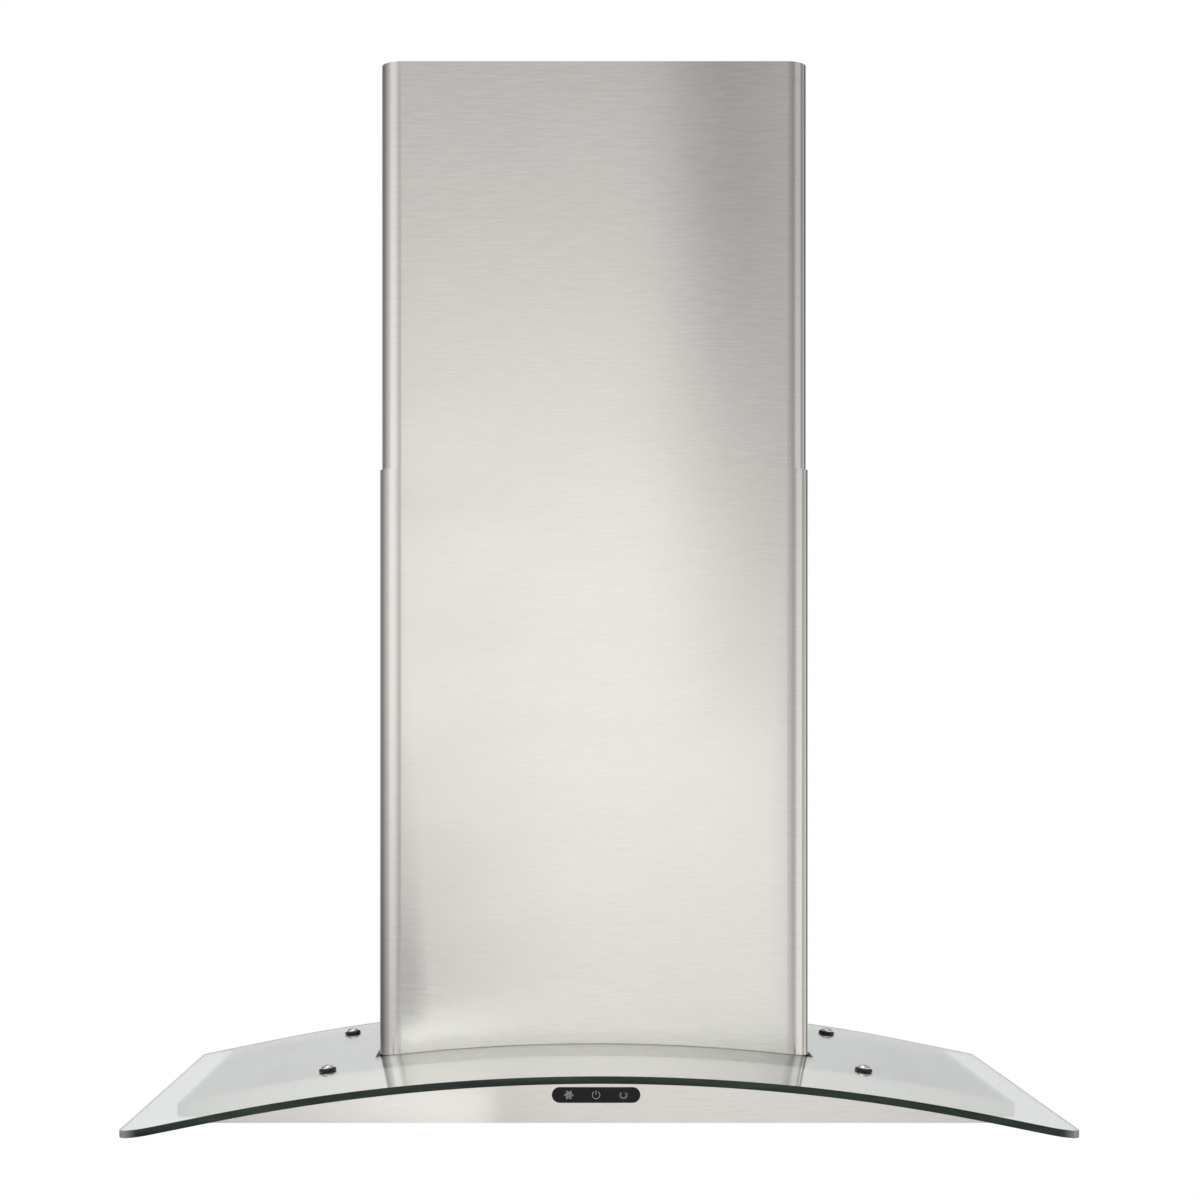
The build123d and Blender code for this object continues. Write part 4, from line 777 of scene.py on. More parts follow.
class PieceTree:
    """A Geometry Nodes tree that makes a piece, with the piece's sizes as named inputs.

    Attributes:
        tree: The node tree.
        sizes: Name of each input to its value.
        source: The outputs of the input node.
    """

    def __init__(self, name: str, **sizes: float | int) -> None:
        """Starts the tree.

        Args:
            name: The tree's name.
            **sizes: Name of each input to its value, a length or a whole number.
        """
        self.tree = bpy.data.node_groups.new(name, "GeometryNodeTree")
        self.sizes = sizes
        kinds = {"Geometry": "Geometry", "Material": "Material"}
        kinds |= {key: "Int" if isinstance(size, int) else "Float" for key, size in sizes.items()}
        add_socket = self.tree.interface.new_socket
        for label, kind in kinds.items():
            add_socket(label, in_out="INPUT", socket_type=f"NodeSocket{kind}")
        add_socket("Geometry", in_out="OUTPUT", socket_type="NodeSocketGeometry")
        self.source = self.tree.nodes.new("NodeGroupInput").outputs

    def add(self, kind: str, inputs: dict | None = None, **settings) -> Node:
        """Adds one node to the tree, as add_node does."""
        return add_node(self.tree, kind, inputs, **settings)

    def whereabouts(self) -> bpy.types.NodeOutputs:
        """The outputs X, Y and Z with the place of each point."""
        position = self.add("GeometryNodeInputPosition")
        return self.add("ShaderNodeSeparateXYZ", {"Vector": position}).outputs

    def turned(self, profile: list[Point], flats: int = 48, weld: float = 0.005 * MM) -> Node:
        """Turns a profile about Z, at the scale of the input Reach.

        Args:
            profile: Radius and height of the outline's points, from bottom to top.
            flats: How many faces go round.
            weld: Points closer than this are one, which closes the poles and the seam.

        Returns:
            The node with the turned shape.
        """
        counts = {"Vertices X": len(profile), "Vertices Y": flats + 1}
        grid = self.add("GeometryNodeMeshGrid", {"Size X": 1.0, "Size Y": 1.0, **counts})
        place = self.whereabouts()
        along = self.add("ShaderNodeMath", {0: place["X"], 1: 0.5}, operation="ADD")
        measures = []
        for axis in (0, 1):
            curve = self.add("ShaderNodeFloatCurve", {"Value": along})
            curve.mapping.use_clip = False
            points = curve.mapping.curves[0].points
            while len(points) < len(profile):
                points.new(0.5, 0.5)
            for index, point in enumerate(profile):
                share = point[axis] / self.sizes["Reach"]
                points[index].location = (index / (len(profile) - 1), share)
                points[index].handle_type = "VECTOR"
            curve.mapping.update()
            inputs = {0: curve, 1: self.source["Reach"]}
            measures.append(self.add("ShaderNodeMath", inputs, operation="MULTIPLY"))
        radius, height = measures
        inputs = {0: place["Y"], 1: 2 * math.pi}
        angle = self.add("ShaderNodeMath", inputs, operation="MULTIPLY")
        spot = {"Z": height}
        for axis, operation in (("X", "COSINE"), ("Y", "SINE")):
            wave = self.add("ShaderNodeMath", {0: angle}, operation=operation)
            spot[axis] = self.add("ShaderNodeMath", {0: radius, 1: wave}, operation="MULTIPLY")
        there = self.add("ShaderNodeCombineXYZ", spot)
        rolled = self.add("GeometryNodeSetPosition", {"Geometry": grid, "Position": there})
        return self.add("GeometryNodeMergeByDistance", {"Geometry": rolled, "Distance": weld})

    def on_faces(self, shape: Node) -> Node:
        """Puts one copy of a shape on each face of the base, its Z along the face's normal.

        Args:
            shape: The node with the shape.

        Returns:
            The node with the copies.
        """
        normal = self.add("GeometryNodeInputNormal")
        turn = self.add("FunctionNodeAlignRotationToVector", {"Vector": normal}, axis="Z")
        kept = self.add("GeometryNodeCaptureAttribute", domain="FACE")
        kept.capture_items.new("ROTATION", "Turn")
        feed(self.tree, kept, {"Geometry": self.source["Geometry"], "Turn": turn})
        points = self.add("GeometryNodeMeshToPoints", {"Mesh": kept}, mode="FACES")
        inputs = {"Points": points, "Instance": shape, "Rotation": kept.outputs["Turn"]}
        return self.add("GeometryNodeInstanceOnPoints", inputs)

    def run(self, shape: Node, finish: Finish, base: Mesh | None = None) -> Mesh:
        """Ends the tree in Realize Instances and Set Material, and runs it once.

        Args:
            shape: The node with what the tree has made.
            finish: What it is made of.
            base: The mesh that the tree starts from, if it needs one.

        Returns:
            The plain mesh that the tree makes.
        """
        real = self.add("GeometryNodeRealizeInstances", {"Geometry": shape})
        inputs = {"Geometry": real, "Material": self.source["Material"]}
        painted = self.add("GeometryNodeSetMaterial", inputs)
        self.add("NodeGroupOutput", {"Geometry": painted})
        carrier = bpy.data.objects.new("carrier", base or bpy.data.meshes.new("carrier"))
        bpy.context.scene.collection.objects.link(carrier)
        modifier = carrier.modifiers.new("make", "NODES")
        modifier.node_group = self.tree
        values = {"Material": finish.material(), **self.sizes}
        for item in self.tree.interface.items_tree:
            if item.in_out == "INPUT" and item.name in values:
                modifier[item.identifier] = values[item.name]
        graph = bpy.context.evaluated_depsgraph_get()
        mesh = bpy.data.meshes.new_from_object(carrier.evaluated_get(graph))
        carrier.modifiers.clear()
        bpy.data.objects.remove(carrier)
        return mesh


SQUARE = ((-1, -1), (1, -1), (1, 1), (-1, 1))


def marker_mesh(places: list[Matrix], half_side: float = 0.1 * MM) -> Mesh:
    """Makes a tiny square face at each place, facing along its Z, for copies to stand on.

    Args:
        places: Where, and how turned.
        half_side: Half the side of a square.

    Returns:
        The mesh.
    """
    corners = [Vector((x * half_side, y * half_side, 0.0)) for x, y in SQUARE]
    vertices = [place @ corner for place in places for corner in corners]
    faces = [range(4 * index, 4 * index + 4) for index in range(len(places))]
    mesh = bpy.data.meshes.new("markers")
    mesh.from_pydata(vertices, [], faces)
    return mesh


# ------------------------------------------------------------------ the canopy


@dataclass
class Canopy(SubAssembly):
    """The bent glass, with its rounded arris, and the screws and washers that hold it.

    Attributes:
        thickness: Of the glass.
        arris: Radius of its rounded edges.
        screw_rows: Y of the front and the back screws.
        bend_steps: How many flats each half of the bend is laid in.
        cut_tolerance: Points this close to a bend line lie on it.
        washer_arris: Bevel of a washer's outer rim.
        washer_foot: The bevel under that rim, as a share of the one above.
        dome_start: Where a screw head's dome starts, as a share of the head's height.
        shank_end: Radius at the shank's tip, as a share of the shank's.
    """

    thickness: float = 6 * MM
    arris: float = 0.8 * MM
    front_corner: float = 30 * MM
    back_corner: float = 4 * MM
    notch_corner: float = 4 * MM
    notch_side_gap: float = 2 * MM
    notch_front_gap: float = 1 * MM
    screw_x: float = 226 * MM
    screw_rows: Point = (-90 * MM, 180 * MM)
    hole_radius: float = 4 * MM
    bend_steps: int = 25
    corner_steps: int = 8
    edge_steps: int = 4
    cut_tolerance: float = 0.02 * MM
    washer_bore: float = 2.6 * MM
    washer_radius: float = 7.35 * MM
    washer_height: float = 2.0 * MM
    washer_arris: float = 0.5 * MM
    washer_foot: float = 0.3
    head_radius: float = 5.0 * MM
    head_height: float = 3.0 * MM
    head_edge: float = 0.2 * MM
    dome_start: float = 0.3
    dome_steps: int = 8
    shank_radius: float = 2.5 * MM
    shank_length: float = 16.0 * MM
    shank_point: float = 0.6 * MM
    shank_end: float = 0.8
    recess_length: float = 5.2 * MM
    recess_width: float = 1.1 * MM
    recess_depth: float = 1.6 * MM
    cutter_height: float = 3.6 * MM
    fixing_sharp_degrees: float = 35.0
    glass_sharp_degrees: float = 40.0

    def grid_lines(self) -> list[float]:
        """X of the lines across the bent part where the sheet turns a little."""
        step = BEND.half_width / self.bend_steps
        return [index * step for index in range(-self.bend_steps, self.bend_steps + 1)]

    def edge_points(self, start: float, end: float) -> list[float]:
        """Finds the grid lines that a straight edge crosses.

        Args:
            start: X where the edge starts.
            end: X where it ends.

        Returns:
            X of the lines between the two, in order from start to end.
        """
        clear = 0.1 * MM
        low, high = min(start, end), max(start, end)
        inside = [x for x in self.grid_lines() if low + clear < x < high - clear]
        return inside if start < end else inside[::-1]

    def corner_points(
        self, centre: Point, radius: float, start: float, turn: float
    ) -> list[RimPoint]:
        """Goes round a corner.

        Args:
            centre: Of the corner's arc.
            radius: Of the arc.
            start: Direction in degrees of the first point from the centre.
            turn: 90 for an outer corner and -90 for an inner one.

        Returns:
            Its points.
        """
        points = []
        sign = math.copysign(1.0, turn)
        for index in range(self.corner_steps + 1):
            angle = math.radians(start + turn * index / self.corner_steps)
            x, y = math.cos(angle), math.sin(angle)
            points.append((centre[0] + radius * x, centre[1] + radius * y, sign * x, sign * y))
        return points

    def outline(self) -> list[RimPoint]:
        """Draws the glass's outline in plan, with the notch round the flue.

        Returns:
            Its points, anticlockwise.
        """
        low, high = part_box("glass_canopy")
        right, front, back = high.x, low.y, high.y
        fc, bc, nc = self.front_corner, self.back_corner, self.notch_corner
        flue_low, flue_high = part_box("lower_flue")
        half, notch_y = flue_high.x + self.notch_side_gap, flue_low.y - self.notch_front_gap
        slant = math.sqrt(0.5)
        points = self.corner_points((-right + fc, front + fc), fc, 180, 90)
        points += [(x, front, 0, -1) for x in self.edge_points(-right + fc, right - fc)]
        points += self.corner_points((right - fc, front + fc), fc, 270, 90)
        points += self.corner_points((right - bc, back - bc), bc, 0, 90)
        points += [(x, back, 0, 1) for x in self.edge_points(right - bc, half)]
        points += [(half, back, -slant, slant)]
        points += self.corner_points((half - nc, notch_y + nc), nc, 0, -90)
        points += [(x, notch_y, 0, 1) for x in self.edge_points(half - nc, nc - half)]
        points += self.corner_points((nc - half, notch_y + nc), nc, 270, -90)
        points += [(-half, back, slant, slant)]
        points += [(x, back, 0, 1) for x in self.edge_points(-half, -right + bc)]
        points += self.corner_points((-right + bc, back - bc), bc, 90, 90)
        return points

    def hole(self, x: float, y: float) -> list[RimPoint]:
        """Draws the outline of a screw hole.

        Args:
            x: Its centre across the hood.
            y: Its centre towards the wall.

        Returns:
            Its points, clockwise, each with its direction out of the glass.
        """
        steps = 4 * self.corner_steps
        turns = [-2 * math.pi * index / steps for index in range(steps)]
        ways = [(math.cos(turn), math.sin(turn)) for turn in turns]
        return [(x + self.hole_radius * c, y + self.hole_radius * s, -c, -s) for c, s in ways]

    def glass_mesh(self) -> Mesh:
        """Makes the sheet: two bent faces, and a rounded edge round its outline and holes.

        Returns:
            The mesh, in the clear glass and that of its edge.
        """
        shape = bmesh.new()
        loops = [self.outline()]
        loops += [self.hole(side * self.screw_x, y) for side in (-1, 1) for y in self.screw_rows]
        turns = [math.pi / 2 * index / self.edge_steps for index in range(self.edge_steps + 1)]
        rise = [(self.arris * (1 - math.sin(t)), self.arris * (1 - math.cos(t))) for t in turns]
        rise += [(inset, self.thickness - depth) for inset, depth in reversed(rise)]
        rims: dict[float, list[bmesh.types.BMEdge]] = {0.0: [], self.thickness: []}
        for loop in loops:
            rings = []
            for inset, offset in rise:
                spots = [(x - inset * out_x, y - inset * out_y) for x, y, out_x, out_y in loop]
                rings.append([shape.verts.new((x, y, BEND.height(x, offset))) for x, y in spots])
            pairs = [(i, (i + 1) % len(loop)) for i in range(len(loop))]
            for lower, upper in zip(rings, rings[1:]):
                for i, j in pairs:
                    face = shape.faces.new((lower[i], lower[j], upper[j], upper[i]))
                    face.material_index = 1
            for offset, ring in ((0.0, rings[0]), (self.thickness, rings[-1])):
                rims[offset] += [shape.edges.get((ring[i], ring[j])) for i, j in pairs]
        for offset, rim in rims.items():
            filled = bmesh.ops.triangle_fill(
                shape, use_beauty=True, use_dissolve=False, edges=rim
            )
            faces = [item for item in filled["geom"] if isinstance(item, bmesh.types.BMFace)]
            self.bend_faces(shape, faces, offset)
        shape.normal_update()
        bmesh.ops.recalc_face_normals(shape, faces=shape.faces)
        mesh = smoothed(mesh_of(shape, CANOPY_GLASS, GLASS_EDGE), self.glass_sharp_degrees)
        BEND.true_normals(mesh)
        return mesh

    def bend_faces(
        self, shape: bmesh.types.BMesh, faces: list[bmesh.types.BMFace], offset: float
    ) -> None:
        """Cuts flat faces along the grid lines and lays the new points on the bend.

        Args:
            shape: The glass so far.
            faces: The flat faces.
            offset: How far the bent face lies above the glass's underside.
        """
        for line in self.grid_lines():
            # A dict keeps its order, so that each run gives the same mesh.
            geometry = dict.fromkeys(faces)
            for face in faces:
                geometry.update(dict.fromkeys((*face.edges, *face.verts)))
            cut = bmesh.ops.bisect_plane(
                shape,
                geom=list(geometry),
                dist=self.cut_tolerance,
                plane_co=(line, 0.0, 0.0),
                plane_no=(1.0, 0.0, 0.0),
            )
            faces = [item for item in cut["geom"] if isinstance(item, bmesh.types.BMFace)]
        for face in faces:
            for vertex in face.verts:
                vertex.co.z = BEND.height(vertex.co.x, offset)

    def screw_places(self, offset: float) -> Mesh:
        """Marks where things stand at the four screws, square to the glass.

        Args:
            offset: How far above the glass's underside.

        Returns:
            The mesh of markers.
        """
        places = []
        for x, y in ((side * self.screw_x, y) for side in (-1, 1) for y in self.screw_rows):
            foot = Vector((x, y, BEND.height(x))) + offset * BEND.up(x)
            places.append(Matrix.Translation(foot) @ Matrix.Rotation(BEND.slope(x), 4, "Y"))
        return marker_mesh(places)

    def washer_mesh(self) -> Mesh:
        """Makes the four rubber washers with bevelled rims.

        Returns:
            The mesh.
        """
        inner, outer, top = self.washer_bore, self.washer_radius, self.washer_height
        edge = self.washer_arris
        foot = outer - edge * self.washer_foot
        profile = [(inner, 0.0), (foot, 0.0), (outer, edge), (outer, top - edge)]
        profile += [(outer - edge, top), (inner, top), (inner, 0.0)]
        make = PieceTree("rubber_washers", Reach=outer)
        washers = make.on_faces(make.turned(profile))
        return make.run(washers, RUBBER, self.screw_places(self.thickness))

    def screw_mesh(self) -> Mesh:
        """Makes the four pan-head screws, each with a cross recess and a shank.

        Returns:
            The mesh.
        """
        head, height, shank = self.head_radius, self.head_height, self.shank_radius
        tip, edge, dome = -self.shank_length, self.head_edge, self.dome_start
        profile = [(0.0, tip), (shank * self.shank_end, tip)]
        profile += [(shank, tip + self.shank_point), (shank, 0.0)]
        profile += [(head - edge, 0.0), (head, edge), (head, height * dome)]
        for index in range(1, self.dome_steps + 1):
            angle = math.pi / 2 * index / self.dome_steps
            rise = height * (dome + (1 - dome) * math.sin(angle))
            profile.append((head * math.cos(angle), rise))
        make = PieceTree(
            "pan_head_screws",
            Reach=self.shank_length,
            Recess_length=self.recess_length,
            Recess_width=self.recess_width,
            Cutter_height=self.cutter_height,
        )
        long, wide = make.source["Recess_length"], make.source["Recess_width"]
        tall = make.source["Cutter_height"]
        lift = height - self.recess_depth + self.cutter_height / 2
        recess = make.add(
            "GeometryNodeMeshBoolean", {"Mesh 1": make.turned(profile)}, operation="DIFFERENCE"
        )
        for across, back in ((long, wide), (wide, long)):
            size = make.add("ShaderNodeCombineXYZ", {"X": across, "Y": back, "Z": tall})
            arm = make.add("GeometryNodeMeshCube", {"Size": size})
            inputs = {"Geometry": arm, "Translation": (0.0, 0.0, lift)}
            feed(make.tree, recess, {"Mesh 2": make.add("GeometryNodeTransform", inputs)})
        places = self.screw_places(self.thickness + self.washer_height)
        return make.run(make.on_faces(recess), SCREW_CHROME, places)

    def build(self) -> None:
        """Makes the glass and its fixings."""
        place_piece("canopy_glass_bent", self.glass_mesh(), "hood", ("glass_canopy",))
        washers = smoothed(self.washer_mesh(), self.fixing_sharp_degrees)
        place_piece("canopy_washers", washers, "hood", ("glass_washers",))
        screws = smoothed(self.screw_mesh(), self.fixing_sharp_degrees)
        place_piece("canopy_screws", screws, "hood", ("glass_screws",))
        self.polish(RUBBER, "glass_sleeves")
        self.polish(ZINC, "glass_nuts")


# ------------------------------------------------------------------ touch control


@dataclass
class TouchControl(SubAssembly):
    """The gloss plate in the front face and its three printed symbols.

    Attributes:
        centre_z: Height of the symbols.
        spacing: From one symbol to the next.
        radius: Of a symbol.
        stroke: Width of the printed lines.
        relief: How far the print stands out of the plate.
        gap: Where the rings of two symbols start and end, in degrees, open at the top.
        ray_start: Direction in degrees of the first of the lamp's rays.
        fan_tip: This and the rest are shares of the radius.
    """

    centre_z: float = 23.5 * MM
    spacing: float = 22.9 * MM
    radius: float = 3.5 * MM
    stroke: float = 0.5 * MM
    relief: float = 0.06 * MM
    gap: Point = (122.0, 418.0)
    ring_steps: int = 24
    stroke_sides: int = 8
    fan_blades: int = 6
    fan_hub: float = 0.7 * MM
    fan_steps: int = 14
    fan_spread: float = 40.0
    fan_curl: float = 62.0
    fan_bulge: float = 0.7
    rays: int = 9
    ray_start: float = 150.0
    ray_turn: float = 30.0
    bar_start: float = 0.2 * MM
    fan_tip: float = 1.06
    power_ring: float = 0.9
    bar_end: float = 1.1
    bulb: float = 0.68
    ray_ends: Point = (0.86, 1.06)

    def spot(self, x: float, reach: float, degrees: float) -> Point:
        """The point at that distance and direction from the centre of the symbol at x."""
        angle = math.radians(degrees)
        return (x + reach * math.cos(angle), self.centre_z + reach * math.sin(angle))

    def ring(self, x: float, radius: float) -> list[Point]:
        """A ring round the symbol at x, open at the top."""
        start, turn = self.gap[0], (self.gap[1] - self.gap[0]) / self.ring_steps
        return [self.spot(x, radius, start + turn * i) for i in range(self.ring_steps + 1)]

    def fan(self, x: float) -> list[list[Point]]:
        """Draws blades that all curl the same way round the hub.

        Args:
            x: Centre of the symbol.

        Returns:
            The strokes.
        """
        strokes = []
        for blade in range(self.fan_blades):
            points = []
            for step in range(self.fan_steps + 1):
                share = step / self.fan_steps
                bulge = math.sin(math.pi * share) ** self.fan_bulge
                reach = self.fan_hub + (self.radius * self.fan_tip - self.fan_hub) * bulge
                turn = self.fan_spread * (share - 0.5) + self.fan_curl * reach / self.radius
                points.append(self.spot(x, reach, 360 / self.fan_blades * blade + turn))
            strokes.append(points)
        return strokes

    def power(self, x: float) -> list[list[Point]]:
        """An open ring with an upright bar in its gap."""
        bar = [self.spot(x, reach, 90.0) for reach in (self.bar_start, self.radius * self.bar_end)]
        return [self.ring(x, self.radius * self.power_ring), bar]

    def lamp(self, x: float) -> list[list[Point]]:
        """Draws a round bulb, open at its neck, with short rays close round it.

        Args:
            x: Centre of the symbol.

        Returns:
            The strokes.
        """
        turns = [self.ray_start + self.ray_turn * index for index in range(self.rays)]
        ends = [self.radius * share for share in self.ray_ends]
        rays = [[self.spot(x, end, turn) for end in ends] for turn in turns]
        return [self.ring(x, self.radius * self.bulb), *rays]

    def symbol_mesh(self) -> Mesh:
        """Prints the three symbols on the plate's face.

        Returns:
            The mesh of flat strokes.
        """
        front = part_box("control_panel")[0].y
        vertices: list[tuple[float, float, float]] = []
        edges: list[tuple[int, int]] = []
        for points in self.fan(-self.spacing) + self.power(0.0) + self.lamp(self.spacing):
            first = len(vertices)
            vertices += [(x, front, z) for x, z in points]
            edges += [(first + i, first + i + 1) for i in range(len(points) - 1)]
        base = bpy.data.meshes.new("strokes")
        base.from_pydata(vertices, edges, [])
        half, flatness = self.stroke / 2, 2 * self.relief / self.stroke
        make = PieceTree("printed_strokes", Half_width=half, Front=front, Flatness=flatness)
        source = make.source
        lines = make.add("GeometryNodeMeshToCurve", {"Mesh": source["Geometry"]})
        inputs = {"Resolution": self.stroke_sides, "Radius": source["Half_width"]}
        section = make.add("GeometryNodeCurvePrimitiveCircle", inputs)
        inputs = {"Curve": lines, "Profile Curve": section, "Fill Caps": True}
        tubes = make.add("GeometryNodeCurveToMesh", inputs)
        place = make.whereabouts()
        inputs = {0: place["Y"], 1: source["Front"]}
        depth = make.add("ShaderNodeMath", inputs, operation="SUBTRACT")
        inputs = {0: depth, 1: source["Flatness"], 2: source["Front"]}
        flat = make.add("ShaderNodeMath", inputs, operation="MULTIPLY_ADD")
        spot = make.add("ShaderNodeCombineXYZ", {"X": place["X"], "Y": flat, "Z": place["Z"]})
        pressed = make.add("GeometryNodeSetPosition", {"Geometry": tubes, "Position": spot})
        return make.run(pressed, SYMBOL_PRINT, base)

    def build(self) -> None:
        """Dresses the plate and board, and prints the symbols."""
        self.polish(TOUCH_PLATE, "control_panel")
        self.dress(BOARD, "touch_board")
        place_piece("touch_symbols", self.symbol_mesh(), "hood")


# ------------------------------------------------------------------ steelwork and lamps


@dataclass
class Steelwork(SubAssembly):
    """Flue covers, body, underside panel and what fixes them."""

    def build(self) -> None:
        """Dresses the sheet parts and their screws."""
        self.polish(FLUE_STEEL, "upper_flue", "lower_flue")
        self.polish(BODY_STEEL, "body_shell", bend=BEND)
        self.polish(BODY_STEEL, "body_back", "bottom_panel")
        self.polish(SCREW_CHROME, "bottom_panel_screws", "flue_clip_screws")
        self.polish(SCREW_CHROME, "flue_bracket_screws")
        self.dress(GALVANISED, "flue_clips", "flue_bracket")


@dataclass
class Lamps(SubAssembly):
    """The two lamps under the front edge."""

    def build(self) -> None:
        """Dresses both lamps."""
        for hand in Hand:
            self.polish(TRIM_CHROME, f"lamp_bezel_{hand.value}")
            self.polish(GALVANISED, f"lamp_can_{hand.value}")
            self.polish(LAMP_GLASS, f"lamp_lens_{hand.value}")
            self.polish(CERAMIC, f"lamp_bulb_{hand.value}")


# ------------------------------------------------------------------ air side


@dataclass
class AirSide(SubAssembly):
    """Airbox, outlet, dampers, blower, motor and the electrical box."""

    def build(self) -> None:
        """Dresses everything inside the hood."""
        self.dress(GALVANISED, "airbox", "control_box", "control_box_lid")
        self.polish(GALVANISED, "airbox_lid", "outlet_collar", "scroll_wrap")
        self.polish(GALVANISED, "scroll_side_left", "scroll_side_right")
        self.polish(GALVANISED, "blower_wheel", "wheel_rings", "wheel_disc")
        self.polish(ZINC, "airbox_lid_screws", "outlet_screws", "damper_pin", "motor_bracket")
        self.polish(ALUMINIUM_SHEET, "damper_flap_front", "damper_flap_rear")
        self.polish(GROUND_STEEL, "motor_shaft")
        self.polish(ENAMEL, "motor_body")
        self.polish(RUBBER, "motor_bushes", "cable_grommet")
        self.dress(BOARD, "main_board")
        self.polish(GREY_MOULDING, "capacitor", "terminal_block")
        self.polish(SHEATH, "touch_cable", "lamp_cables", "motor_cable")


# ------------------------------------------------------------------ grease filters


@dataclass
class GreaseFilter(SubAssembly):
    """One filter: its frame, its expanded-metal faces, its catch and the catch's spring.

    Attributes:
        hand: Which of the two.
        diamond_length: From tip to tip of a mesh opening, across the hood.
        diamond_width: Of a mesh opening, front to back.
        strand: Width of the metal between two openings.
        pocket_half: Half the width of the pocket that the catch stands in.
        pocket_clearance: How far the strands end beside the pocket.
        pleat_pitch: From one fold of the middle layer to the next but one.
        pleat_inset: How far the folds stay inside the pad's faces.
    """

    hand: Hand = Hand.LEFT
    diamond_length: float = 9 * MM
    diamond_width: float = 4.2 * MM
    strand: float = 0.7 * MM
    pocket_half: float = 20 * MM
    pocket_depth: float = 34 * MM
    pocket_clearance: float = 0.5 * MM
    pleat_pitch: float = 12 * MM
    pleat_inset: float = 1.0 * MM
    pleat_thickness: float = 0.3 * MM
    spring_turns: float = 9.0
    spring_sharp_degrees: float = 60.0
    wire: float = 0.6 * MM
    wire_sides: int = 8
    steps_per_turn: int = 24

    def expanded_metal(self, low: Vector, high: Vector) -> Mesh:
        """Makes a face of expanded metal: zigzag strands side by side, clear of the pocket.

        Args:
            low: The pad's lower corner.
            high: Its upper corner.

        Returns:
            The face, at height 0.
        """
        half_pitch, row_pitch = self.diamond_length / 2, self.diamond_width / 2
        steps = int((high.x - low.x) / half_pitch)
        start = low.x + (high.x - low.x - (steps - 1) * half_pitch) / 2
        middle = (low.x + high.x) / 2 - start
        pocket = self.pocket_half + self.pocket_clearance
        make = PieceTree(
            "expanded_metal",
            Half_pitch=half_pitch,
            Row_pitch=row_pitch,
            Steps=steps,
            Rows=int((high.y - low.y) / row_pitch) - 1,
            Strand=self.strand,
            Pocket_low=middle - pocket,
            Pocket_high=middle + pocket,
            Pocket_back=self.pocket_depth,
        )
        source = make.source
        index = make.add("GeometryNodeInputIndex")
        odd = make.add("ShaderNodeMath", {0: index, 1: 2.0}, operation="MODULO")
        inputs = {0: odd, 1: source["Row_pitch"]}
        swing = make.add("ShaderNodeMath", inputs, operation="MULTIPLY")
        shift = make.add("ShaderNodeCombineXYZ", {"Y": swing})
        chains = []
        for count, axis, pitch in (("Steps", "X", "Half_pitch"), ("Rows", "Y", "Row_pitch")):
            step = make.add("ShaderNodeCombineXYZ", {axis: source[pitch]})
            line = make.add("GeometryNodeMeshLine", {"Count": source[count], "Offset": step})
            chain = make.add("GeometryNodeSetPosition", {"Geometry": line, "Offset": shift})
            chains.append(chain)
        zigzag, rows = chains
        inputs = {0: odd, 1: -2.0, 2: 1.0}
        mirror = make.add("ShaderNodeMath", inputs, operation="MULTIPLY_ADD")
        size = make.add("ShaderNodeCombineXYZ", {"X": 1.0, "Y": mirror, "Z": 1.0})
        inputs = {"Points": rows, "Instance": zigzag, "Scale": size}
        strands = make.add("GeometryNodeInstanceOnPoints", inputs)
        real = make.add("GeometryNodeRealizeInstances", {"Geometry": strands})
        place = make.whereabouts()
        inside: Node | float = 1.0
        for axis, limit, operation in (
            ("X", "Pocket_low", "GREATER_THAN"),
            ("X", "Pocket_high", "LESS_THAN"),
            ("Y", "Pocket_back", "LESS_THAN"),
        ):
            inputs = {0: place[axis], 1: source[limit]}
            test = make.add("ShaderNodeMath", inputs, operation=operation)
            inside = make.add("ShaderNodeMath", {0: inside, 1: test}, operation="MULTIPLY")
        inputs = {"Geometry": real, "Selection": inside}
        cut = make.add("GeometryNodeDeleteGeometry", inputs, domain="POINT")
        curves = make.add("GeometryNodeMeshToCurve", {"Mesh": cut})
        inputs = {"Width": source["Strand"], "Height": source["Strand"]}
        section = make.add("GeometryNodeCurvePrimitiveQuadrilateral", inputs)
        inputs = {"Curve": curves, "Profile Curve": section, "Fill Caps": True}
        mesh = make.run(make.add("GeometryNodeCurveToMesh", inputs), ALUMINIUM_MESH)
        mesh.transform(Matrix.Translation((start, low.y, 0.0)))
        return mesh

    def add_pleats(self, pad: bmesh.types.BMesh, low: Vector, high: Vector) -> None:
        """Adds the pleated layer between the two faces, a folded sheet of fine knitted mesh.

        Args:
            pad: The pad so far.
            low: Its lower corner.
            high: Its upper corner.
        """
        count = 2 * round((high.x - low.x) / self.pleat_pitch)
        half = (high.x - low.x) / count
        bottom, top = low.z + self.pleat_inset, high.z - self.pleat_inset
        pocket = (low.x + high.x) / 2
        faces = []
        for index in range(count):
            x = (low.x + index * half, low.x + (index + 1) * half)
            z = (top, bottom) if index % 2 else (bottom, top)
            near = abs((x[0] + x[1]) / 2 - pocket) < self.pocket_half + half
            front = low.y + self.pocket_depth if near else low.y
            ring = [(x[0], z[0]), (x[1], z[1])]
            ring += [(px, pz + self.pleat_thickness) for px, pz in reversed(ring)]
            ends = [[pad.verts.new((px, y, pz)) for px, pz in ring] for y in (front, high.y)]
            faces += [pad.faces.new(ends[0]), pad.faces.new(ends[1][::-1])]
            for i, j in ((0, 1), (1, 2), (2, 3), (3, 0)):
                faces.append(pad.faces.new((ends[0][j], ends[0][i], ends[1][i], ends[1][j])))
        bmesh.ops.recalc_face_normals(pad, faces=faces)

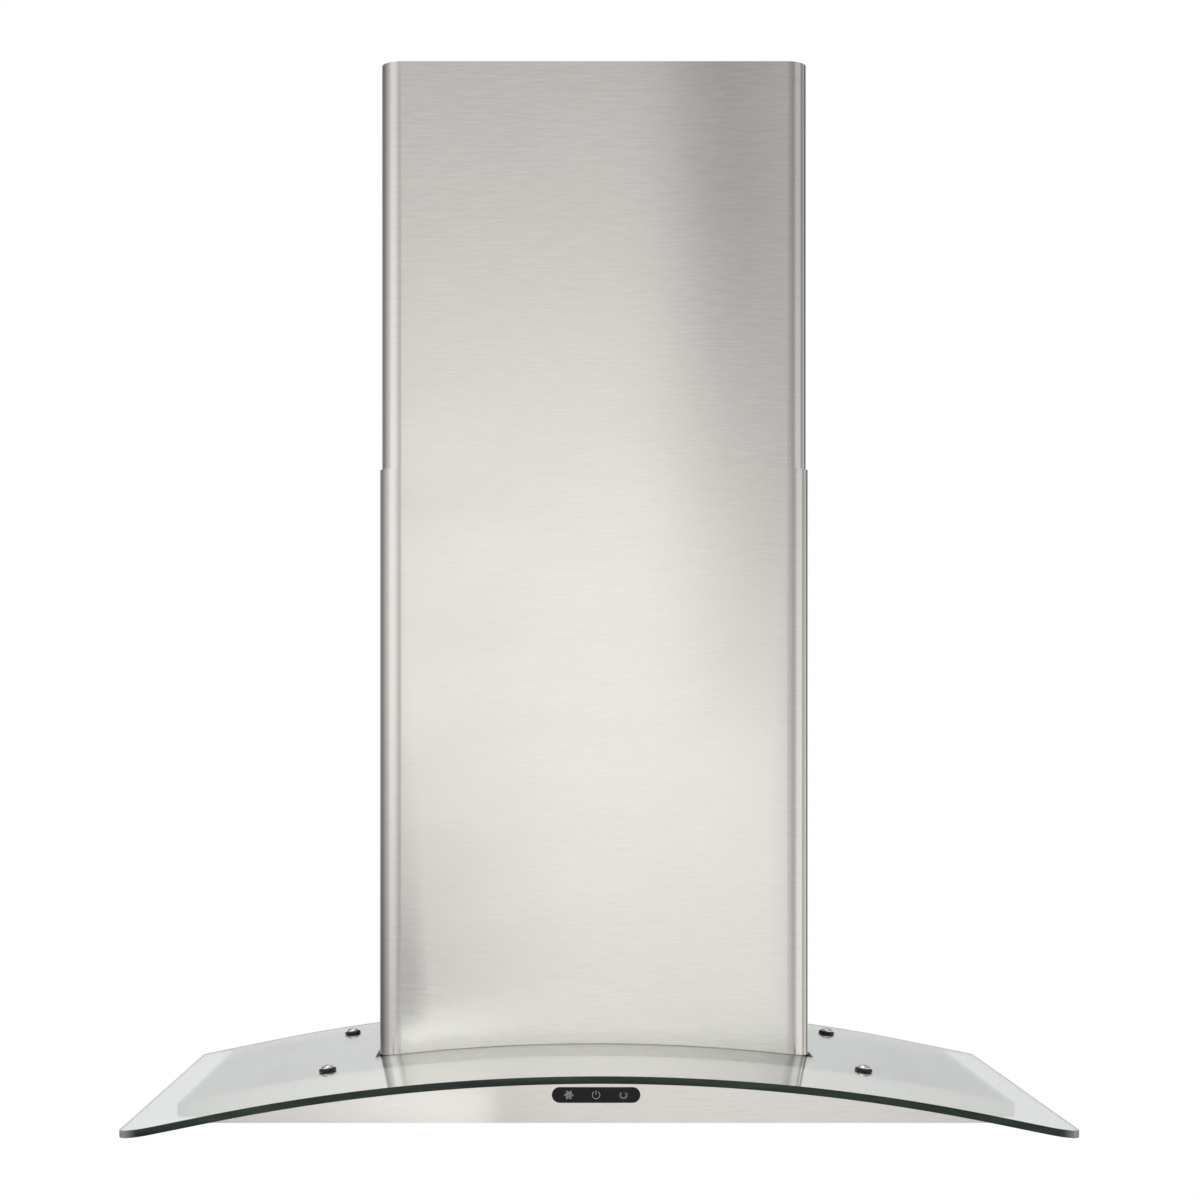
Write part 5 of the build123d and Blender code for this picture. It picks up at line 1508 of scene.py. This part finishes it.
    def spring_mesh(self, low: Vector, high: Vector) -> Mesh:
        """Winds the catch's compression spring from round wire.

        Args:
            low: The spring's lower corner.
            high: Its upper corner.

        Returns:
            The mesh.
        """
        make = PieceTree(
            "coil_spring",
            Turns=self.spring_turns,
            Radius=(high.x - low.x) / 2 - self.wire / 2,
            Length=high.y - low.y - self.wire,
            Wire=self.wire / 2,
        )
        source = make.source
        radii = {"Start Radius": source["Radius"], "End Radius": source["Radius"]}
        inputs = {"Resolution": self.steps_per_turn, "Rotations": source["Turns"]}
        inputs |= {"Height": source["Length"], **radii}
        helix = make.add("GeometryNodeCurveSpiral", inputs)
        inputs = {"Resolution": self.wire_sides, "Radius": source["Wire"]}
        section = make.add("GeometryNodeCurvePrimitiveCircle", inputs)
        inputs = {"Curve": helix, "Profile Curve": section, "Fill Caps": True}
        mesh = make.run(make.add("GeometryNodeCurveToMesh", inputs), GROUND_STEEL)
        foot = Vector(((low.x + high.x) / 2, low.y + self.wire / 2, (low.z + high.z) / 2))
        mesh.transform(Matrix.Translation(foot) @ Matrix.Rotation(-math.pi / 2, 4, "X"))
        return mesh

    def build(self) -> None:
        """Makes the pad and spring, and dresses the frame and catch."""
        hand = self.hand.value
        body, node = f"filter_{hand}", f"filter_mesh_{hand}"
        low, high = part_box(node)
        metal = self.expanded_metal(low, high)
        pad = bmesh.new()
        for z in (low.z + self.strand, high.z - self.strand):
            layer = metal.copy()
            layer.transform(Matrix.Translation((0.0, 0.0, z)))
            pad.from_mesh(layer)
        self.add_pleats(pad, low, high)
        mesh = mesh_of(pad, ALUMINIUM_MESH)
        place_piece(f"filter_pad_{hand}", mesh, body, (node,))
        node = f"catch_spring_{hand}"
        front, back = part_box(node)
        spring = smoothed(self.spring_mesh(front, back), self.spring_sharp_degrees)
        coil = place_piece(f"catch_coil_{hand}", spring, body, (node,))
        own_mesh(coil)
        self.polish(ALUMINIUM_SHEET, f"filter_frame_{hand}")
        self.polish(GREY_MOULDING, f"filter_catch_{hand}")


# ------------------------------------------------------------------ studio


class LampShape(Enum):
    """Outline of a soft lamp, by Blender's names."""

    RECTANGLE = "RECTANGLE"
    ELLIPSE = "ELLIPSE"


@dataclass(frozen=True)
class Softbox:
    """A soft lamp.

    Attributes:
        name: What it is.
        place: Its centre.
        aim: The point that it faces.
        size: Its width and height.
        energy: In watts.
        shape: Its outline.
    """

    name: str
    place: tuple[float, float, float]
    aim: tuple[float, float, float]
    size: Point
    energy: float
    shape: LampShape

    def build(self) -> None:
        """Hangs the lamp."""
        light = bpy.data.lights.new(self.name, "AREA")
        light.shape = self.shape.value
        light.size, light.size_y = self.size
        light.energy = self.energy
        lamp = bpy.data.objects.new(self.name, light)
        lamp.location = self.place
        aim = Vector(self.aim) - lamp.location
        lamp.rotation_euler = aim.to_track_quat("-Z", "Y").to_euler()
        lamp.visible_camera = False
        bpy.context.scene.collection.objects.link(lamp)


# It gives the floor its shadow.
OVERHEAD = Softbox(
    "overhead_softbox", (-0.3, -0.7, 2.6), (0.0, 0.0, 0.3), (1.8, 1.4), 22.0, LampShape.RECTANGLE
)
# It lights the body's front face.
STRIP = Softbox(
    "strip_softbox",
    (-0.262, -0.66, -0.07),
    (-0.24, -0.11, 0.02),
    (0.34, 0.08),
    0.067,
    LampShape.ELLIPSE,
)


@dataclass
class Room:
    """A room that is white to look at and softly uneven where metal mirrors it.

    Directions are in degrees. The compass is 0 behind the camera, 90 to the right of the hood and
    180 behind it, and the climb is 0 at level and 90 straight up.

    Attributes:
        walls: Brightness of the side walls by compass.
        front_wall: Brightness of the wall behind the camera by climb.
        front_edges: Where the front wall gives way to the side walls, to either side.
        shade_edges: Where the front wall's upper right is in shade, by compass.
        shade_rise: Where that shade starts, by climb.
        shade_lean: How far it leans to the left as it climbs.
        shade_depth: The share of light that it takes.
        patch_place: Compass and climb of a dark patch low on the left of the front wall.
        patch_size: Its half sizes.
        patch_rim: Where it fades in, from outside, in half sizes.
        wall_shades: Where the side walls dim: how far to the right, from and to which climb, and
            the share of light that goes.
        ceiling: Brightness of the ceiling and the floor.
        ceiling_edges: Where the walls give way to these.
    """

    walls: tuple[Point, ...] = (
        (-180, 0.80), (-164, 0.62), (-148, 0.30), (-122, 0.29), (-107, 0.46), (-92, 0.70),
        (-79, 0.84), (-66, 1.24), (-52, 1.30), (-42, 1.26), (-31, 1.08), (-22, 0.86),
        (-14, 0.78), (17, 0.80), (26, 0.73), (36, 0.60), (47, 0.66), (58, 1.06),
        (81, 1.13), (87, 1.07), (94, 0.73), (101, 0.50), (109, 0.68), (117, 0.98),
        (125, 0.80), (131, 0.32), (134, 0.10), (138, 0.16), (144, 0.42), (158, 0.60),
        (180, 0.80),
    )
    front_wall: tuple[Point, ...] = (
        (-45, 0.66), (-20, 0.70), (-12, 0.80), (-5, 1.15), (0, 1.38), (6, 1.30),
        (10, 0.98), (14, 0.71), (18, 0.57), (28, 0.45), (60, 0.60),
    )
    front_edges: Point = (6.5, 12.0)
    shade_edges: Point = (3.3, 8.3)
    shade_rise: Point = (0.0, 9.5)
    shade_lean: float = 0.04
    shade_depth: float = 0.46
    patch_place: Point = (-8.0, -14.0)
    patch_size: Point = (7.5, 10.5)
    patch_rim: Point = (1.15, 0.6)
    wall_shades: tuple[tuple[float, Point, float], ...] = (
        (0.3, (-2.0, 15.0), 0.45),
        (-0.3, (5.0, 18.0), 0.30),
        (-0.3, (1.5, -9.0), 0.55),
    )
    ceiling: float = 0.85
    ceiling_edges: Point = (40.0, 65.0)

    def change(
        self,
        tree: Tree,
        first: Node | Socket,
        second: Node | Socket | Colour,
        *edges: tuple[Node | Socket, float, float],
        **settings,
    ) -> Socket:
        """Goes from one colour to another past every one of some soft edges.

        Args:
            tree: The world's node tree.
            first: The colour before the edges.
            second: The colour past them, or what the first one is multiplied by there.
            *edges: For each edge a measure, and where on it the change starts and ends.
            **settings: Properties of the Mix node.

        Returns:
            The colour that comes out.
        """
        past: Node | float = 1.0
        for measure, start, end in edges:
            inputs = {"Value": measure, "From Min": start, "From Max": end}
            rise = add_node(tree, "ShaderNodeMapRange", inputs, interpolation_type="SMOOTHSTEP")
            past = add_node(tree, "ShaderNodeMath", {0: past, 1: rise}, operation="MULTIPLY")
        inputs = {0: past, 6: first, 7: second}
        return add_node(tree, "ShaderNodeMix", inputs, data_type="RGBA", **settings).outputs[2]

    def front_colour(self, tree: Tree, wall: Node, compass: Node, climb: Node) -> Socket:
        """Adds the shade and the dark patch to the wall behind the camera.

        Args:
            tree: The world's node tree.
            wall: The plain wall.
            compass: The direction looked in.
            climb: Its height.

        Returns:
            The wall's colour.
        """
        inputs = {0: climb, 1: self.shade_lean, 2: compass}
        leaning = add_node(tree, "ShaderNodeMath", inputs, operation="MULTIPLY_ADD")
        edges = ((leaning, *self.shade_edges), (climb, *self.shade_rise))
        shade = grey(1 - self.shade_depth)
        shaded = self.change(tree, wall, shade, *edges, blend_type="MULTIPLY")
        reach = []
        for angle, centre, half in zip((compass, climb), self.patch_place, self.patch_size):
            inputs = {0: angle, 1: 1 / half, 2: -centre / half}
            reach.append(add_node(tree, "ShaderNodeMath", inputs, operation="MULTIPLY_ADD"))
        away = add_node(tree, "ShaderNodeCombineXYZ", {"X": reach[0], "Y": reach[1]})
        distance = add_node(tree, "ShaderNodeVectorMath", {0: away}, operation="LENGTH")
        rim = (distance.outputs["Value"], *self.patch_rim)
        return self.change(tree, shaded, grey(0.0), rim, blend_type="MULTIPLY")

    def build(self) -> None:
        """Paints the room on the world, and leaves it white where the camera looks."""
        world = bpy.data.worlds.new("studio")
        bpy.context.scene.world = world
        world.use_nodes = True
        tree = world.node_tree
        tree.nodes.clear()
        look = add_node(tree, "ShaderNodeTexCoord").outputs["Generated"]
        parts = add_node(tree, "ShaderNodeSeparateXYZ", {"Vector": look}).outputs
        away = add_node(tree, "ShaderNodeMath", {0: parts["Y"], 1: -1.0}, operation="MULTIPLY")
        turn = add_node(tree, "ShaderNodeMath", {0: parts["X"], 1: away}, operation="ARCTAN2")
        rise = add_node(tree, "ShaderNodeMath", {0: parts["Z"]}, operation="ARCSINE")
        angles, sizes, colours = [], [], []
        for radians, limit, stops in ((turn, 180.0, self.walls), (rise, 90.0, self.front_wall)):
            angle = add_node(tree, "ShaderNodeMath", {0: radians}, operation="DEGREES")
            inputs = {"Value": angle, "From Min": -limit, "From Max": limit}
            share = add_node(tree, "ShaderNodeMapRange", inputs)
            shades = [((a + limit) / (2 * limit), grey(level)) for a, level in stops]
            colours.append(add_node(tree, "ShaderNodeValToRGB", {"Fac": share}, stops=shades))
            angles.append(angle)
            sizes.append(add_node(tree, "ShaderNodeMath", {0: angle}, operation="ABSOLUTE"))
        compass, climb = angles
        walls, wall = colours
        for side, heights, depth in self.wall_shades:
            edges = ((parts["X"], 0.0, side), (climb, *heights))
            walls = self.change(tree, walls, grey(1 - depth), *edges, blend_type="MULTIPLY")
        front = self.front_colour(tree, wall, compass, climb)
        around = self.change(tree, front, walls, (sizes[0], *self.front_edges))
        room = self.change(tree, around, grey(self.ceiling), (sizes[1], *self.ceiling_edges))
        lit = add_node(tree, "ShaderNodeBackground", {"Color": room})
        white = add_node(tree, "ShaderNodeBackground", {"Color": grey(1.0)})
        ray = add_node(tree, "ShaderNodeLightPath").outputs
        inputs = {0: ray["Is Camera Ray"], 1: ray["Is Transmission Ray"]}
        seen = add_node(tree, "ShaderNodeMath", inputs, operation="MAXIMUM")
        mix = add_node(tree, "ShaderNodeMixShader", {0: seen, 1: lit, 2: white})
        add_node(tree, "ShaderNodeOutputWorld", {"Surface": mix})


@dataclass
class Studio:
    """Pale floor, soft lamps, the room and the camera.

    Attributes:
        floor_z: Height of the floor, as far below the hood as a hob would be.
        principal: Where the camera's axis meets the picture, in pixels from its top left.
        focal_pixels: Focal length in pixels of a picture that is image_size wide.
    """

    floor_z: float = -0.65
    floor_radius: float = 2.4
    floor_sides: int = 96
    image_size: float = 1200.0
    principal: Point = (544.6, 750.8)
    focal_pixels: float = 2407.6
    camera_place: tuple[float, float, float] = (-0.0432, -2.129, 0.3121)
    sensor: float = 36.0
    view_distance: float = 50.0

    def build_floor(self) -> None:
        """Lays a round floor under the hood."""
        shape = bmesh.new()
        bmesh.ops.create_circle(
            shape, cap_ends=True, radius=self.floor_radius, segments=self.floor_sides
        )
        paint = FloorPaint("floor_paint_pale", radius=self.floor_radius)
        floor = bpy.data.objects.new("floor", mesh_of(shape, paint))
        floor.location = (0.0, 0.0, self.floor_z)
        bpy.context.scene.collection.objects.link(floor)

    def build_camera(self) -> None:
        """The camera of the photograph: level, a little left of the middle, with a shifted lens."""
        camera = bpy.data.cameras.new("camera")
        camera.sensor_width = self.sensor
        camera.lens = self.focal_pixels * self.sensor / self.image_size
        camera.shift_x = 0.5 - self.principal[0] / self.image_size
        camera.shift_y = self.principal[1] / self.image_size - 0.5
        camera.clip_end = self.view_distance
        holder = bpy.data.objects.new("camera", camera)
        holder.location = self.camera_place
        holder.rotation_euler = (math.pi / 2, 0.0, 0.0)
        bpy.context.scene.collection.objects.link(holder)
        bpy.context.scene.camera = holder

    def build(self) -> None:
        """Sets up floor, room, lamps and camera."""
        self.build_floor()
        Room().build()
        OVERHEAD.build()
        STRIP.build()
        self.build_camera()
        bpy.context.scene.view_settings.view_transform = "Standard"


def main() -> None:
    """Builds the studio and every sub-assembly."""
    logging.basicConfig(level=logging.INFO, format="%(name)s: %(message)s")
    for part in (Studio(), Canopy(), TouchControl(), Steelwork(), Lamps(), AirSide()):
        part.build()
    for hand in Hand:
        GreaseFilter(hand=hand).build()


if __name__ == "__main__":
    main()
